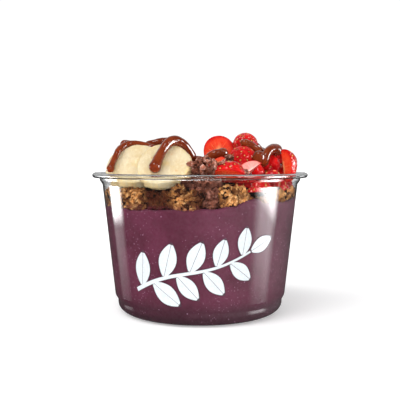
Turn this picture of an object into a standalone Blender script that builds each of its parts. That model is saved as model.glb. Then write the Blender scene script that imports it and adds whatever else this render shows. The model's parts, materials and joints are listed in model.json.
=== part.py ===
"""Acai bowl served in a clear plastic cup, modelled as separate solids.

The cup is one thermoformed shell. Acai fills it, a bed of granola lies on the acai, and on the bed stand
a row of banana slices, a ridge of cacao nibs and a pile of cut strawberries. Ribbons of chocolate spread
lie over them.
Metres, +Z up. The origin is the middle of the cup's foot, and -Y is the front.
"""

import math

import bmesh
import bpy
from mathutils import Matrix, Vector
from mathutils.bvhtree import BVHTree

MM = 0.001
GAP = 0.3 * MM
DROP_STEPS = (4 * MM, 1 * MM, 0.2 * MM)
SLIDE_COST = 0.4
DROP_HEIGHT = 110 * MM

# The cup: a shell of even thickness, described by the middle of its wall.
WALL = 0.6 * MM
RIM_RADIUS = 58.5 * MM
HEIGHT = 76.0 * MM
NECK_RADIUS = 54.3 * MM
NECK_BOTTOM = 72.0 * MM
SHOULDER_RADIUS = 53.1 * MM
SHOULDER_BOTTOM = 69.4 * MM
WALL_FOOT_RADIUS = 46.5 * MM
WALL_FOOT = 10.2 * MM
STEP_RADIUS = 45.0 * MM
STEP = 7.6 * MM
HEEL_WIDTH = 7.6 * MM
HEEL_HEIGHT = 5.6 * MM
FOOT_RING_WIDTH = 2.4 * MM
BASE_RECESS = 1.4 * MM
LIP_DROP = 2.0 * MM
CUP_SEGMENTS = 36

# The layers inside it.
FILL_SEGMENTS = 32
ACAI_LEFT_LEVEL = 58.5 * MM
ACAI_RIGHT_LEVEL = 62.2 * MM
GRANOLA_TOP = 67.2 * MM
GRANOLA_MOUND = 3.0 * MM
CONTENT_RADIUS = 52.2 * MM
RIDGE_X = 0.9 * MM
RIDGE_HALF_WIDTH = 6.3 * MM
RIDGE_HALF_LENGTH = 49.0 * MM
RIDGE_FOOT = 66.0 * MM
RIDGE_RISE = 15.5 * MM
RIDGE_SEGMENTS = 36

# The toppings.
BANANA_RADIUS = 14.2 * MM
BANANA_THICKNESS = 6.2 * MM
BERRY_LENGTH = 23.0 * MM
BERRY_RADIUS = 9.6 * MM
RIBBON_RADIUS = 2.1 * MM
RIBBON_SPACING = 2.2 * MM
RIBBON_STEEPEST = 1.6

COLOURS = {
    "clear_plastic": ((0.90, 0.93, 0.94), 0.08),
    "acai": ((0.085, 0.022, 0.045), 0.55),
    "granola": ((0.42, 0.19, 0.06), 0.7),
    "cacao": ((0.075, 0.030, 0.020), 0.6),
    "banana": ((0.87, 0.76, 0.45), 0.5),
    "strawberry": ((0.62, 0.015, 0.018), 0.35),
    "chocolate_spread": ((0.20, 0.045, 0.015), 0.2),
}

# Banana slices, back to front: name, x and y of the middle (mm), turn to the left and lean back (degrees),
# and size.
BANANA_SLICES = (
    ("banana_8", -14, 38, -8, 44, 0.90),
    ("banana_7", -32, 30, -2, 44, 0.95),
    ("banana_6", -17, 19, 4, 44, 0.95),
    ("banana_5", -36, 10, 6, 44, 0.96),
    ("banana_4", -19, -2, 2, 44, 0.95),
    ("banana_3", -36.5, -12, 12, 42, 0.96),
    ("banana_2", -31.5, -22.5, 8, 42, 0.97),
    ("banana_1", -17.6, -33, 9, 42, 0.97),
)

# Pieces of strawberry, bottom to top: name, cut, x and y (mm), how far the cut face looks up, the roll of
# the tip from straight down to the left, the turn of the cut face to the right (all degrees), size, and how
# far the piece may drift as it settles (mm).
BERRY_PIECES = (
    ("strawberry_01", "half", 12.2, -37.2, -64, 98, -12, 0.83, 0.8),
    ("strawberry_02", "half", 30, -35, -86, 90, 38, 0.62, 1),
    ("strawberry_03", "half", 40, -23, -88, 90, 60, 0.66, 2),
    ("strawberry_04", "half", 44.8, -5.5, -88, 90, 84, 0.72, 1),
    ("strawberry_05", "half", 42, 13, -88, -90, 106, 0.74, 2),
    ("strawberry_06", "half", 32, 29, -88, 90, 130, 0.74, 2),
    ("strawberry_07", "half", 16, 38, -88, -90, 156, 0.74, 2),
    ("strawberry_08", "half", 25, -21, -90, 80, 0, 0.62, 2),
    ("strawberry_09", "half", 16, -10, -90, 0, 0, 0.70, 2),
    ("strawberry_10", "half", 30, -5, -90, 0, 0, 0.66, 2),
    ("strawberry_11", "half", 16, 7, -90, 180, 0, 0.70, 2),
    ("strawberry_12", "half", 30, 12, -90, 180, 0, 0.66, 2),
    ("strawberry_13", "half", 17, 23, -90, 0, 0, 0.70, 2),
    ("strawberry_14", "slab", 10, -21, 30, 60, -20, 0.52, 0),
    ("strawberry_15", "quarter", 27, -27, 25, -125, 10, 0.62, 1),
    ("strawberry_16", "slab", 36.5, -27.5, 60, 90, 10, 0.38, 1),
    ("strawberry_17", "quarter", 43.8, -15, 4, -18, -58, 0.84, 0),
    ("strawberry_18", "half", 21.4, -15.6, -140, 168, 0, 0.84, 1),
    ("strawberry_19", "half", 34, -5, -90, 60, 0, 0.60, 2),
    ("strawberry_20", "half", 34, -6.5, -120, 60, 0, 0.70, 1.5),
    ("strawberry_21", "half", 9.0, 3, 14, 10, -8, 0.92, 1),
    ("strawberry_22", "half", 45.5, -1, -60, 0, 60, 0.60, 1),
    ("strawberry_23", "half", 39, 9, -60, 60, 80, 0.68, 4),
    ("strawberry_24", "half", 23, 17, -90, 60, 40, 0.70, 4),
    ("strawberry_25", "quarter", 37, 20, -60, 60, 140, 0.74, 4),
    ("strawberry_26", "quarter", 22, 31, -50, 60, 180, 0.74, 4),
    ("strawberry_27", "half", 11, 16, 20, 0, 160, 0.74, 4),
    ("strawberry_28", "half", 24.2, -0.4, -118, 165, 0, 0.74, 0.4),
    ("strawberry_29", "half", 27, 17, -90, 0, 20, 0.68, 3),
)

# Ribbons of chocolate spread: name, thickness and points x, y (mm) along the way they were poured.
RIBBONS = (
    ("spread_1", 0.80, ((-20, -14), (-26.5, -13), (-31.7, -13), (-37, -14.5), (-41, -17.5), (-46, -29))),
    ("spread_2", 1.00, ((-42, -7), (-38, -2), (-31, 3), (-24, 2), (-17, 6), (-12, 12))),
    ("spread_3", 1.20, ((-22.8, -43), (-19.5, -35.5), (-15.5, -30.5), (-11, -27), (-7.5, -25.5), (-4, -22))),
    ("spread_4", 1.10, ((-6, -14), (-3, -18), (1, -19), (4.5, -20), (8, -20.5), (11, -18), (14, -20))),
    ("spread_5", 0.95, ((22, -12), (25.5, -10.5), (29, -9.8), (33.5, -10))),
    ("spread_6", 1.30, ((42.5, -6), (39.5, -10), (36, -15), (32.5, -20), (28.5, -25.5))),
    ("spread_7", 1.00, ((45, 3), (48, -1), (49.5, -6))),
    ("spread_8", 0.95, ((10, 20), (17, 15), (24, 20), (32, 17), (38, 24))),
    ("spread_9", 0.95, ((-37, 26), (-29, 22), (-20, 27), (-12, 23))),
)


def smooth_step(low, high, value):
    """0 below low, 1 above high, with a smooth rise between."""
    t = min(1.0, max(0.0, (value - low) / (high - low)))
    return t * t * (3 - 2 * t)


def material(name):
    """The Principled material of that name, made on first use."""
    found = bpy.data.materials.get(name)
    if found:
        return found
    colour, roughness = COLOURS[name]
    made = bpy.data.materials.new(name)
    made.use_nodes = True
    shader = made.node_tree.nodes["Principled BSDF"]
    shader.inputs["Base Color"].default_value = (*colour, 1.0)
    shader.inputs["Roughness"].default_value = roughness
    shader.inputs["Metallic"].default_value = 0.0
    if name == "clear_plastic":
        shader.inputs["Transmission Weight"].default_value = 1.0
        shader.inputs["IOR"].default_value = 1.45
    return made


def add_object(name, mesh, surface, collection):
    """Links mesh as an object with that surface."""
    made = bpy.data.objects.new(name, mesh)
    mesh.materials.append(material(surface))
    collection.objects.link(made)
    return made


def mesh_from(shape, name):
    """Turns a bmesh into a mesh with its faces pointing out."""
    bmesh.ops.recalc_face_normals(shape, faces=shape.faces)
    mesh = bpy.data.meshes.new(name)
    shape.to_mesh(mesh)
    shape.free()
    mesh.shade_smooth()
    mesh.set_sharp_from_angle(angle=math.radians(40))
    return mesh


def arc(centre, width, height, start, end, steps):
    """Points (radius, z) on an elliptical arc, with angles in degrees."""
    angles = [math.radians(start + (end - start) * i / steps) for i in range(steps + 1)]
    return [(centre[0] + width * math.cos(a), centre[1] + height * math.sin(a)) for a in angles]


def cup_profile():
    """The middle of the cup's wall, from the curled edge of the lip down to the middle of the base."""
    half = WALL / 2
    lip_mid = RIM_RADIUS - 1.6 * MM
    lip = arc((lip_mid, HEIGHT - half - 1.1 * MM), 1.6 * MM - half, 1.1 * MM, -50, 90, 4)
    neck = [(NECK_RADIUS + 0.5 * MM, HEIGHT - 1.0 * MM), (NECK_RADIUS, HEIGHT - LIP_DROP)]
    neck.append((NECK_RADIUS - 0.1 * MM, NECK_BOTTOM))
    wall = [(SHOULDER_RADIUS - half, SHOULDER_BOTTOM), (WALL_FOOT_RADIUS - half, WALL_FOOT)]
    step = [(STEP_RADIUS - half, STEP)]
    heel_centre = (STEP_RADIUS - half - HEEL_WIDTH, half + HEEL_HEIGHT)
    heel = arc(heel_centre, HEEL_WIDTH, HEEL_HEIGHT, 0, -90, 4)
    ring = [(heel_centre[0] - FOOT_RING_WIDTH, half)]
    base = [(ring[0][0] - BASE_RECESS, half + BASE_RECESS), (0.0, half + BASE_RECESS)]
    return lip + neck + wall + step + heel + ring + base


def make_cup(collection):
    """The clear cup: its profile turned round Z and given its wall."""
    mesh = bpy.data.meshes.new("cup")
    points = [(radius, 0.0, z) for radius, z in cup_profile()]
    mesh.from_pydata(points, [(i, i + 1) for i in range(len(points) - 1)], [])
    cup = add_object("cup", mesh, "clear_plastic", collection)
    turn = cup.modifiers.new("turn", "SCREW")
    turn.steps = turn.render_steps = CUP_SEGMENTS
    turn.use_merge_vertices = True
    turn.merge_threshold = 0.00001
    shell = cup.modifiers.new("shell", "SOLIDIFY")
    shell.thickness = WALL
    shell.offset = 0.0
    shell.use_even_offset = True
    return cup


def inner_radius(z):
    """The radius of the room for the contents at height z."""
    clear = WALL + GAP
    rows = (
        (WALL + BASE_RECESS + GAP, STEP_RADIUS - HEEL_WIDTH - clear),
        (HEEL_HEIGHT, STEP_RADIUS - 0.5 * MM - clear),
        (STEP, STEP_RADIUS - clear),
        (WALL_FOOT + 0.6 * MM, WALL_FOOT_RADIUS - clear),
        (SHOULDER_BOTTOM, SHOULDER_RADIUS - clear),
        (HEIGHT, SHOULDER_RADIUS - clear),
    )
    for (low, low_radius), (high, high_radius) in zip(rows, rows[1:]):
        if z <= high:
            share = max(0.0, (z - low) / (high - low))
            return low_radius + (high_radius - low_radius) * share
    return rows[-1][1]


def acai_level(x, y):
    """Height of the acai's top: smeared higher up the wall on the right, with a soft roll and dome."""
    rise = smooth_step(6 * MM, 34 * MM, x)
    roll = 0.5 * MM * math.sin(x / (9 * MM) + 1.0) + 0.4 * MM * math.sin(y / (11 * MM))
    dome = 1.2 * MM * (1 - (x * x + y * y) / CONTENT_RADIUS**2)
    return ACAI_LEFT_LEVEL + (ACAI_RIGHT_LEVEL - ACAI_LEFT_LEVEL) * rise + roll + dome


def granola_level(x, y):
    """Height of the granola bed: clusters in a layer that mounds in the middle and thins to the right."""
    lumps = math.sin(x / (7.1 * MM) + 0.6) * math.sin(y / (6.3 * MM) + 1.1)
    mound = GRANOLA_MOUND * max(0.0, 1 - (x * x + y * y) / (34 * MM) ** 2)
    thin = 1.4 * MM * smooth_step(20 * MM, 40 * MM, x)
    dip = 3.4 * MM * math.exp(-((x - 27 * MM) ** 2 + (y + 40 * MM) ** 2) / (8 * MM) ** 2)
    return GRANOLA_TOP + 0.5 * MM * lumps + mound - thin - dip


def nib_level(x, y):
    """Height of the ridge of cacao nibs, which runs from front to back."""
    across = (x - RIDGE_X) / (RIDGE_HALF_WIDTH + 0.6 * MM)
    along = y / (RIDGE_HALF_LENGTH + 8 * MM)
    lumps = math.cos((x - 2 * MM) / (2.6 * MM)) * math.sin(y / (3.4 * MM)) + math.sin(y / (2.1 * MM))
    return RIDGE_FOOT + RIDGE_RISE * (1 - across * across) * (1 - along * along) + 0.6 * MM * lumps


def layer(name, surface, profile, levels, outline, segments, collection):
    """A layer between two levels, which are functions of x and y.

    profile runs from the middle of the underside to the middle of the top, as (share of the radius,
    share of the height); outline gives the outer point for an angle and a height.
    """
    bottom, top = levels
    shape = bmesh.new()
    rows = [shape.verts.new((share, 0.0, height)) for share, height in profile]
    edges = [shape.edges.new(pair) for pair in zip(rows, rows[1:])]
    bmesh.ops.spin(
        shape,
        geom=rows + edges,
        axis=(0, 0, 1),
        cent=(0, 0, 0),
        steps=segments,
        angle=math.tau,
        use_merge=True,
    )
    bmesh.ops.remove_doubles(shape, verts=shape.verts, dist=0.0001)
    for vert in shape.verts:
        share, height = math.hypot(vert.co.x, vert.co.y), vert.co.z
        angle = math.atan2(vert.co.y, vert.co.x)
        x, y = (share * value for value in outline(angle, HEIGHT))
        for _ in range(3):
            z = bottom(x, y) + height * (top(x, y) - bottom(x, y))
            x, y = (share * value for value in outline(angle, z))
        vert.co = (x, y, z)
    return add_object(name, mesh_from(shape, name), surface, collection)


def round_outline(angle, z):
    """The outline of what fills the cup at height z."""
    radius = inner_radius(z)
    return radius * math.cos(angle), radius * math.sin(angle)


def ridge_outline(angle, z):
    """The long blunt oval on which the ridge of nibs stands."""
    across, along = math.cos(angle), math.sin(angle)
    return (
        RIDGE_X + RIDGE_HALF_WIDTH * math.copysign(abs(across) ** 0.7, across),
        RIDGE_HALF_LENGTH * math.copysign(abs(along) ** 0.9, along),
    )


def make_fill(collection):
    """Acai, granola bed and ridge of nibs, each resting on the one below."""
    floor = WALL + BASE_RECESS + GAP
    wall_rows = [STEP * 0.45, STEP * 0.8, STEP, WALL_FOOT + 0.6 * MM, 30 * MM, 48 * MM]
    deep = [(0.0, 0.0), (0.97, 0.0)]
    deep += [(1.0, (z - floor) / (ACAI_LEFT_LEVEL - floor)) for z in wall_rows]
    deep += [(share, 1.0) for share in (1.0, 0.8, 0.6, 0.4, 0.2, 0.0)]
    flat = [(share, 0.0) for share in (0.0, 0.2, 0.4, 0.6, 0.8, 1.0)]
    flat += [(1.0, 0.5), (0.99, 1.0)]
    flat += [(share, 1.0) for share in (0.84, 0.68, 0.52, 0.36, 0.18, 0.0)]
    heap = [(0.0, 0.0), (0.5, 0.0), (1.0, 0.0), (1.0, 0.5)]
    heap += [(share, 1.0) for share in (0.94, 0.78, 0.6, 0.4, 0.2, 0.0)]
    acai = (lambda x, y: floor, acai_level)
    bed = (lambda x, y: acai_level(x, y) + 2 * GAP, granola_level)
    ridge = (
        lambda x, y: granola_level(x, y) + 3 * GAP,
        lambda x, y: max(nib_level(x, y), granola_level(x, y) + 1.2 * MM),
    )
    return [
        layer("acai", "acai", deep, acai, round_outline, FILL_SEGMENTS, collection),
        layer("granola", "granola", flat, bed, round_outline, FILL_SEGMENTS, collection),
        layer("cacao_nibs", "cacao", heap, ridge, ridge_outline, RIDGE_SEGMENTS, collection),
    ]


def banana_mesh(name, size):
    """A slice of banana: a soft three-sided disc that looks to -Y, with bevelled edges."""
    shape = bmesh.new()
    radius = BANANA_RADIUS * size
    bmesh.ops.create_cone(
        shape,
        cap_ends=True,
        segments=22,
        radius1=radius,
        radius2=radius,
        depth=BANANA_THICKNESS,
        matrix=Matrix.Rotation(math.radians(90), 4, "X"),
    )
    for vert in shape.verts:
        angle = math.atan2(vert.co.z, vert.co.x)
        vert.co.xz *= 1 + 0.025 * math.cos(3 * angle + 0.4) + 0.02 * math.cos(2 * angle)
    rims = [edge for edge in shape.edges if len({face.normal.to_tuple(2) for face in edge.link_faces}) == 2]
    rims = [edge for edge in rims if abs(edge.verts[0].co.y - edge.verts[1].co.y) < GAP]
    bmesh.ops.bevel(shape, geom=rims, offset=1.0 * MM, segments=1, affect="EDGES")
    return mesh_from(shape, name)


def berry_mesh(name, cut, size):
    """A piece of strawberry: a tapered body with its tip at -Z, cut by flat planes through its middle."""
    shape = bmesh.new()
    bmesh.ops.create_uvsphere(shape, u_segments=12, v_segments=7, radius=1.0)
    for vert in shape.verts:
        taper = (1 + 0.24 * vert.co.z) / 1.05
        vert.co.xy *= BERRY_RADIUS * size * taper
        vert.co.z *= BERRY_LENGTH * size / 2
    cuts = {
        "half": [((0, 0, 0), (0, -1, 0))],
        "quarter": [((0, 0, 0), (0, -1, 0)), ((0, 0, 0), (-1, 0, 0))],
        "slab": [((0, -3.5 * MM, 0), (0, -1, 0)), ((0, 3.5 * MM, 0), (0, 1, 0))],
    }[cut]
    for point, outward in cuts:
        geometry = list(shape.verts) + list(shape.edges) + list(shape.faces)
        kept = bmesh.ops.bisect_plane(
            shape, geom=geometry, plane_co=point, plane_no=outward, clear_outer=True, dist=1e-7
        )
        rim = [item for item in kept["geom_cut"] if isinstance(item, bmesh.types.BMEdge)]
        bmesh.ops.contextual_create(shape, geom=rim)
    return mesh_from(shape, name)


def corners(points):
    """The lowest and highest corners of the box round some points."""
    return [[pick(point[i] for point in points) for i in range(3)] for pick in (min, max)]


class Pile:
    """What lies in the cup so far, which a new piece comes to rest on."""

    def __init__(self):
        self.trees = []

    def add(self, piece):
        """Takes in a placed piece."""
        bpy.context.view_layer.update()
        evaluated = piece.evaluated_get(bpy.context.evaluated_depsgraph_get())
        mesh = evaluated.to_mesh()
        points = [piece.matrix_world @ vert.co for vert in mesh.vertices]
        faces = [tuple(face.vertices) for face in mesh.polygons]
        self.trees.append((BVHTree.FromPolygons(points, faces), *corners(points)))
        evaluated.to_mesh_clear()

    def clear(self, points, faces, shift):
        """Whether a shape moved by shift keeps clear of the pile."""
        moved = [point + shift for point in points]
        low, high = corners(moved)
        trial = BVHTree.FromPolygons(moved, faces)
        for tree, tree_low, tree_high in self.trees:
            apart = any(low[i] > tree_high[i] or high[i] < tree_low[i] for i in range(3))
            if not apart and trial.overlap(tree):
                return False
        return True

    def drop(self, points, faces, aside):
        """How far a shape moved aside falls before it meets the pile."""
        fall = 0.0
        for step in DROP_STEPS:
            while self.clear(points, faces, aside - Vector((0, 0, fall + step))):
                fall += step
        return fall

    def settle(self, piece, drift):
        """Drops a piece on the pile, no further aside than drift, where it comes to lie lowest."""
        bpy.context.view_layer.update()
        matrix = piece.matrix_world
        spin = matrix.to_3x3()
        points = [matrix @ vert.co + spin @ vert.normal * GAP * 1.3 for vert in piece.data.vertices]
        faces = [tuple(face.vertices) for face in piece.data.polygons]
        places = [Vector((0, 0, 0))]
        for share in (0.5, 1.0):
            angles = [math.tau * i / 8 for i in range(8)]
            places += [Vector((math.cos(a), math.sin(a), 0)) * drift * share for a in angles]
        gains = [self.drop(points, faces, aside) - SLIDE_COST * aside.length for aside in places]
        best = places[gains.index(max(gains))]
        piece.location += best - Vector((0, 0, self.drop(points, faces, best)))
        self.add(piece)

    def height(self, x, y):
        """Height of the pile's top at x, y."""
        above = Vector((x, y, 0.2))
        hits = [tree.ray_cast(above, Vector((0, 0, -1)))[0] for tree, _, _ in self.trees]
        return max((hit.z for hit in hits if hit), default=0.0)

    def distance(self, point):
        """Distance from a point to the nearest surface of the pile."""
        return min(tree.find_nearest(point)[3] for tree, _, _ in self.trees)

    def resting_height(self, x, y, radius):
        """Height of the middle of a ball of that radius that rests on the pile at x, y."""
        point = Vector((x, y, self.height(x, y) + radius + GAP))
        while self.distance(point) < radius + GAP:
            point.z += GAP / 2
        return point.z


def turn_piece(piece, up, roll, turn):
    """Rolls a piece about -Y, then tilts its front up, then turns its front to the right, all in degrees."""
    piece.rotation_mode = "YXZ"
    piece.rotation_euler = (math.radians(-up), math.radians(roll), math.radians(turn))


def make_bananas(pile, collection):
    """The row of banana slices, leaning back like tiles."""
    for name, x, y, left, lean, size in BANANA_SLICES:
        piece = add_object(name, banana_mesh(name, size), "banana", collection)
        turn_piece(piece, lean, 0, -left)
        piece.location = (x * MM, y * MM, DROP_HEIGHT)
        pile.settle(piece, 0.5 * MM)


def make_berries(pile, collection):
    """The pile of cut strawberries."""
    for name, cut, x, y, up, roll, turn, size, drift in BERRY_PIECES:
        piece = add_object(name, berry_mesh(name, cut, size), "strawberry", collection)
        turn_piece(piece, up, roll, turn)
        piece.location = (x * MM, y * MM, DROP_HEIGHT)
        pile.settle(piece, drift * MM)


def smooth_route(points, spacing):
    """Points about every spacing along a smooth curve through the given points."""
    ends = [points[0] * 2 - points[1], *points, points[-1] * 2 - points[-2]]
    route = []
    for before, start, end, after in zip(ends, ends[1:], ends[2:], ends[3:]):
        steps = max(1, round((end - start).length / spacing))
        for i in range(steps):
            t = i / steps
            line = start + (end - before) * (t / 2)
            bend = (before * 2 - start * 5 + end * 4 - after) * (t * t / 2)
            twist = (start * 3 - before - end * 3 + after) * (t**3 / 2)
            route.append(line + bend + twist)
    return [*route, points[-1]]


def drape(route, pile, radius):
    """Lays a route on the pile: the middle line of a thick ribbon, which bridges steep drops."""
    points = [Vector((p.x, p.y, pile.resting_height(p.x, p.y, radius))) for p in route]
    for line in (points, points[::-1]):
        for before, after in zip(line, line[1:]):
            after.z = max(after.z, before.z - RIBBON_STEEPEST * (after.xy - before.xy).length)
    kept = [points[0]]
    for point in points[1:-1]:
        if (point - kept[-1]).length >= RIBBON_SPACING:
            kept.append(point)
    kept.append(points[-1])
    rising = True
    while rising:
        rising = False
        for start, end in zip(kept, kept[1:]):
            if any(pile.distance(start.lerp(end, t)) < radius + GAP for t in (0.25, 0.5, 0.75)):
                start.z += GAP / 3
                end.z += GAP / 3
                rising = True
    return kept


def make_ribbons(pile, collection):
    """Ribbons of chocolate spread, each a tube that follows the top of the pile."""
    for name, thickness, points in RIBBONS:
        radius = RIBBON_RADIUS * thickness
        route = smooth_route([Vector((x * MM, y * MM)) for x, y in points], 0.5 * MM)
        route = drape(route, pile, radius)
        curve = bpy.data.curves.new(name, "CURVE")
        curve.dimensions = "3D"
        curve.bevel_depth = radius
        curve.bevel_resolution = 1
        curve.use_fill_caps = True
        spline = curve.splines.new("POLY")
        spline.points.add(len(route) - 1)
        for point, place in zip(spline.points, route):
            point.co = (*place, 1.0)
        pile.add(add_object(name, curve, "chocolate_spread", collection))


def main():
    """Clears the scene and builds the bowl."""
    for old in list(bpy.data.objects):
        bpy.data.objects.remove(old)
    collection = bpy.data.collections.new("acai_bowl")
    bpy.context.scene.collection.children.link(collection)
    pile = Pile()
    pile.add(make_cup(collection))
    for piece in make_fill(collection):
        pile.add(piece)
    make_bananas(pile, collection)
    make_berries(pile, collection)
    make_ribbons(pile, collection)


main()
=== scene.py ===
"""Acai bowl in a clear plastic cup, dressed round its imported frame.

Every piece takes its place from the frame's nodes and lengths are in metres. The cup stands on its foot at
the origin, and -Y is the front.
"""

import json
import logging
import math
import random
from collections.abc import Callable, Sequence
from dataclasses import dataclass, field
from enum import Enum

import bmesh
import bpy
import numpy as np
from mathutils import Euler, Matrix, Vector, noise
from mathutils.bvhtree import BVHTree
from mathutils.kdtree import KDTree

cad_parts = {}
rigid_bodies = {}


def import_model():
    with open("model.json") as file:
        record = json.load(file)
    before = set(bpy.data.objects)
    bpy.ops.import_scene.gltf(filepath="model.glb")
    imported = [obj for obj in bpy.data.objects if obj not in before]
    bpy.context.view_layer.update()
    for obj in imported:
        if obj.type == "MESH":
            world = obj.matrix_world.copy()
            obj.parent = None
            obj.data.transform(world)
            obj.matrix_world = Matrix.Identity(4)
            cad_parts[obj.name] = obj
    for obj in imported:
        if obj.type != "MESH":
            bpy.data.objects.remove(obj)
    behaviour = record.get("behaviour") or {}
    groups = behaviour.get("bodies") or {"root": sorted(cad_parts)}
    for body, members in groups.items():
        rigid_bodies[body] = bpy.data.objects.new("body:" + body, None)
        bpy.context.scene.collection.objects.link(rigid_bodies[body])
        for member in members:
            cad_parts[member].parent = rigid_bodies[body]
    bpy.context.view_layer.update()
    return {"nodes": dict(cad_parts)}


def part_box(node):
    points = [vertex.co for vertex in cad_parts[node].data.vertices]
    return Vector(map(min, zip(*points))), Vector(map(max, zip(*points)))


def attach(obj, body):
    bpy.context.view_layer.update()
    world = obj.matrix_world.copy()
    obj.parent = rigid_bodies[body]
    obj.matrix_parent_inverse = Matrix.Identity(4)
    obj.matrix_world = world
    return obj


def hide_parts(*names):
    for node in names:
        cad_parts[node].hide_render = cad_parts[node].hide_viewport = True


LOG = logging.getLogger("acai_bowl")
MM = 0.001
BODY = "root"
Colour = tuple[float, float, float, float]
Level = Callable[[float, float], float]


def paint(red: float, green: float, blue: float) -> Colour:
    """Turns a colour as a paint chart gives it, 0 to 255, into the linear values that a shader takes."""

    def linear(value: float) -> float:
        share = value / 255
        return share / 12.92 if share <= 0.04045 else ((share + 0.055) / 1.055) ** 2.4

    return linear(red), linear(green), linear(blue), 1.0


def smooth_step(low: float, high: float, value: float) -> float:
    """0 below low, 1 above high, with a smooth rise between."""
    t = min(1.0, max(0.0, (value - low) / (high - low)))
    return t * t * (3 - 2 * t)


# ---------------------------------------------------------------------------------------------------------
# Node trees
# ---------------------------------------------------------------------------------------------------------


class Tree:
    """A node tree under construction, for a surface or for geometry."""

    def __init__(self, tree: bpy.types.NodeTree) -> None:
        """Takes the tree to build in."""
        self.tree = tree

    def add(self, kind: str, inputs: dict | None = None, **settings: object) -> bpy.types.Node:
        """Adds a node.

        Args:
            kind: The node's type.
            inputs: Sockets or constants for its inputs, by name or number.
            **settings: The node's own settings.

        Returns:
            The node.
        """
        node = self.tree.nodes.new(kind)
        for name, value in settings.items():
            setattr(node, name, value)
        for name, value in (inputs or {}).items():
            self.feed(node.inputs[name], value)
        return node

    def feed(self, socket: bpy.types.NodeSocket, value: object) -> None:
        """Links value to a socket if it is a socket itself, and sets it otherwise."""
        if isinstance(value, bpy.types.NodeSocket):
            self.tree.links.new(value, socket)
        else:
            socket.default_value = value

    def math(self, operation: str, *values: object, clamp: bool = False) -> bpy.types.NodeSocket:
        """Adds a Math node and returns its result."""
        node = self.add("ShaderNodeMath", operation=operation, use_clamp=clamp)
        for socket, value in zip(node.inputs, values):
            self.feed(socket, value)
        return node.outputs[0]

    def mix(self, share: object, first: object, second: object, blend: str = "MIX") -> bpy.types.NodeSocket:
        """Adds a colour mix of first and second, by share of the second, and returns its result."""
        node = self.add("ShaderNodeMix", {0: share, 6: first, 7: second}, data_type="RGBA", blend_type=blend)
        return node.outputs[2]

    def span(
        self, value: object, low: object, high: object, start: float = 0.0, end: float = 1.0
    ) -> bpy.types.NodeSocket:
        """Maps low to high onto start to end, smoothly and clamped, and returns the result."""
        inputs = {"Value": value, 1: low, 2: high, 3: start, 4: end}
        return self.add("ShaderNodeMapRange", inputs, interpolation_type="SMOOTHSTEP").outputs[0]

    def ramp(self, value: object, stops: Sequence[tuple[float, Colour]]) -> bpy.types.NodeSocket:
        """Adds a colour ramp with those stops and returns its colour."""
        node = self.add("ShaderNodeValToRGB", {0: value})
        elements = node.color_ramp.elements
        elements.remove(elements[-1])
        for i, (place, colour) in enumerate(stops):
            element = elements[0] if i == 0 else elements.new(place)
            element.position, element.color = place, colour
        return node.outputs[0]

    def noise(
        self, vector: object, scale: object, detail: float = 3.0, roughness: float = 0.55
    ) -> bpy.types.NodeSocket:
        """Adds noise over a vector and returns its value, about 0.2 to 0.8."""
        inputs = {"Vector": vector, "Scale": scale, "Detail": detail, "Roughness": roughness}
        return self.add("ShaderNodeTexNoise", inputs).outputs[0]

    def place(self) -> bpy.types.NodeSocket:
        """The Object coordinates of a surface."""
        return self.add("ShaderNodeTexCoord").outputs["Object"]

    def attribute(self, name: str, output: str = "Fac") -> bpy.types.NodeSocket:
        """A piece's own attribute."""
        return self.add("ShaderNodeAttribute", attribute_name=name).outputs[output]

    def bump(self, height: object, strength: float, distance: float) -> bpy.types.NodeSocket:
        """Adds a bump over a height and returns its normal."""
        return self.add("ShaderNodeBump", {"Height": height, "Strength": strength, "Distance": distance}).outputs[0]

    def group(self, kind: "Group", **inputs: object) -> bpy.types.NodeSocket:
        """Places a shared group and returns its first output."""
        node = self.add("ShaderNodeGroup", node_tree=kind.tree())
        for name, value in inputs.items():
            self.feed(node.inputs[name.replace("_", " ").title()], value)
        return node.outputs[0]


class Group(Enum):
    """Effects that several finishes share."""

    SPECKS = "specks"
    MOTTLE = "mottle"

    def tree(self) -> bpy.types.NodeTree:
        """The group's tree, built on first use."""
        found = bpy.data.node_groups.get(self.value)
        if found:
            return found
        made = bpy.data.node_groups.new(self.value, "ShaderNodeTree")
        sockets = {"Vector": "NodeSocketVector", "Scale": "NodeSocketFloat"}
        if self is Group.SPECKS:
            sockets |= {"Share": "NodeSocketFloat", "Radius": "NodeSocketFloat"}
        for name, kind in sockets.items():
            made.interface.new_socket(name=name, in_out="INPUT", socket_type=kind)
        made.interface.new_socket(name="Mask", in_out="OUTPUT", socket_type="NodeSocketFloat")
        tree = Tree(made)
        given = tree.add("NodeGroupInput").outputs
        result = self._specks(tree, given) if self is Group.SPECKS else self._mottle(tree, given)
        tree.add("NodeGroupOutput", {"Mask": result})
        return made

    def _specks(self, tree: Tree, given: bpy.types.bpy_prop_collection) -> bpy.types.NodeSocket:
        """Small soft dots in a share of the cells of a random grid."""
        cells = tree.add("ShaderNodeTexVoronoi", {"Vector": given["Vector"], "Scale": given["Scale"]})
        lot = tree.add("ShaderNodeSeparateColor", {0: cells.outputs["Color"]}).outputs[0]
        chosen = tree.math("LESS_THAN", lot, given["Share"])
        reach = tree.math("DIVIDE", cells.outputs["Distance"], given["Radius"])
        return tree.math("MULTIPLY", chosen, tree.span(reach, 1.0, 0.35), clamp=True)

    def _mottle(self, tree: Tree, given: bpy.types.bpy_prop_collection) -> bpy.types.NodeSocket:
        """Broad and fine clouds, spread over 0 to 1."""
        broad = tree.noise(given["Vector"], given["Scale"], 4.0)
        fine = tree.noise(given["Vector"], tree.math("MULTIPLY", given["Scale"], 5.0), 2.0)
        both = tree.math("ADD", tree.math("MULTIPLY", broad, 0.7), tree.math("MULTIPLY", fine, 0.3))
        return tree.span(both, 0.34, 0.66)


# ---------------------------------------------------------------------------------------------------------
# Finishes
# ---------------------------------------------------------------------------------------------------------


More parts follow.
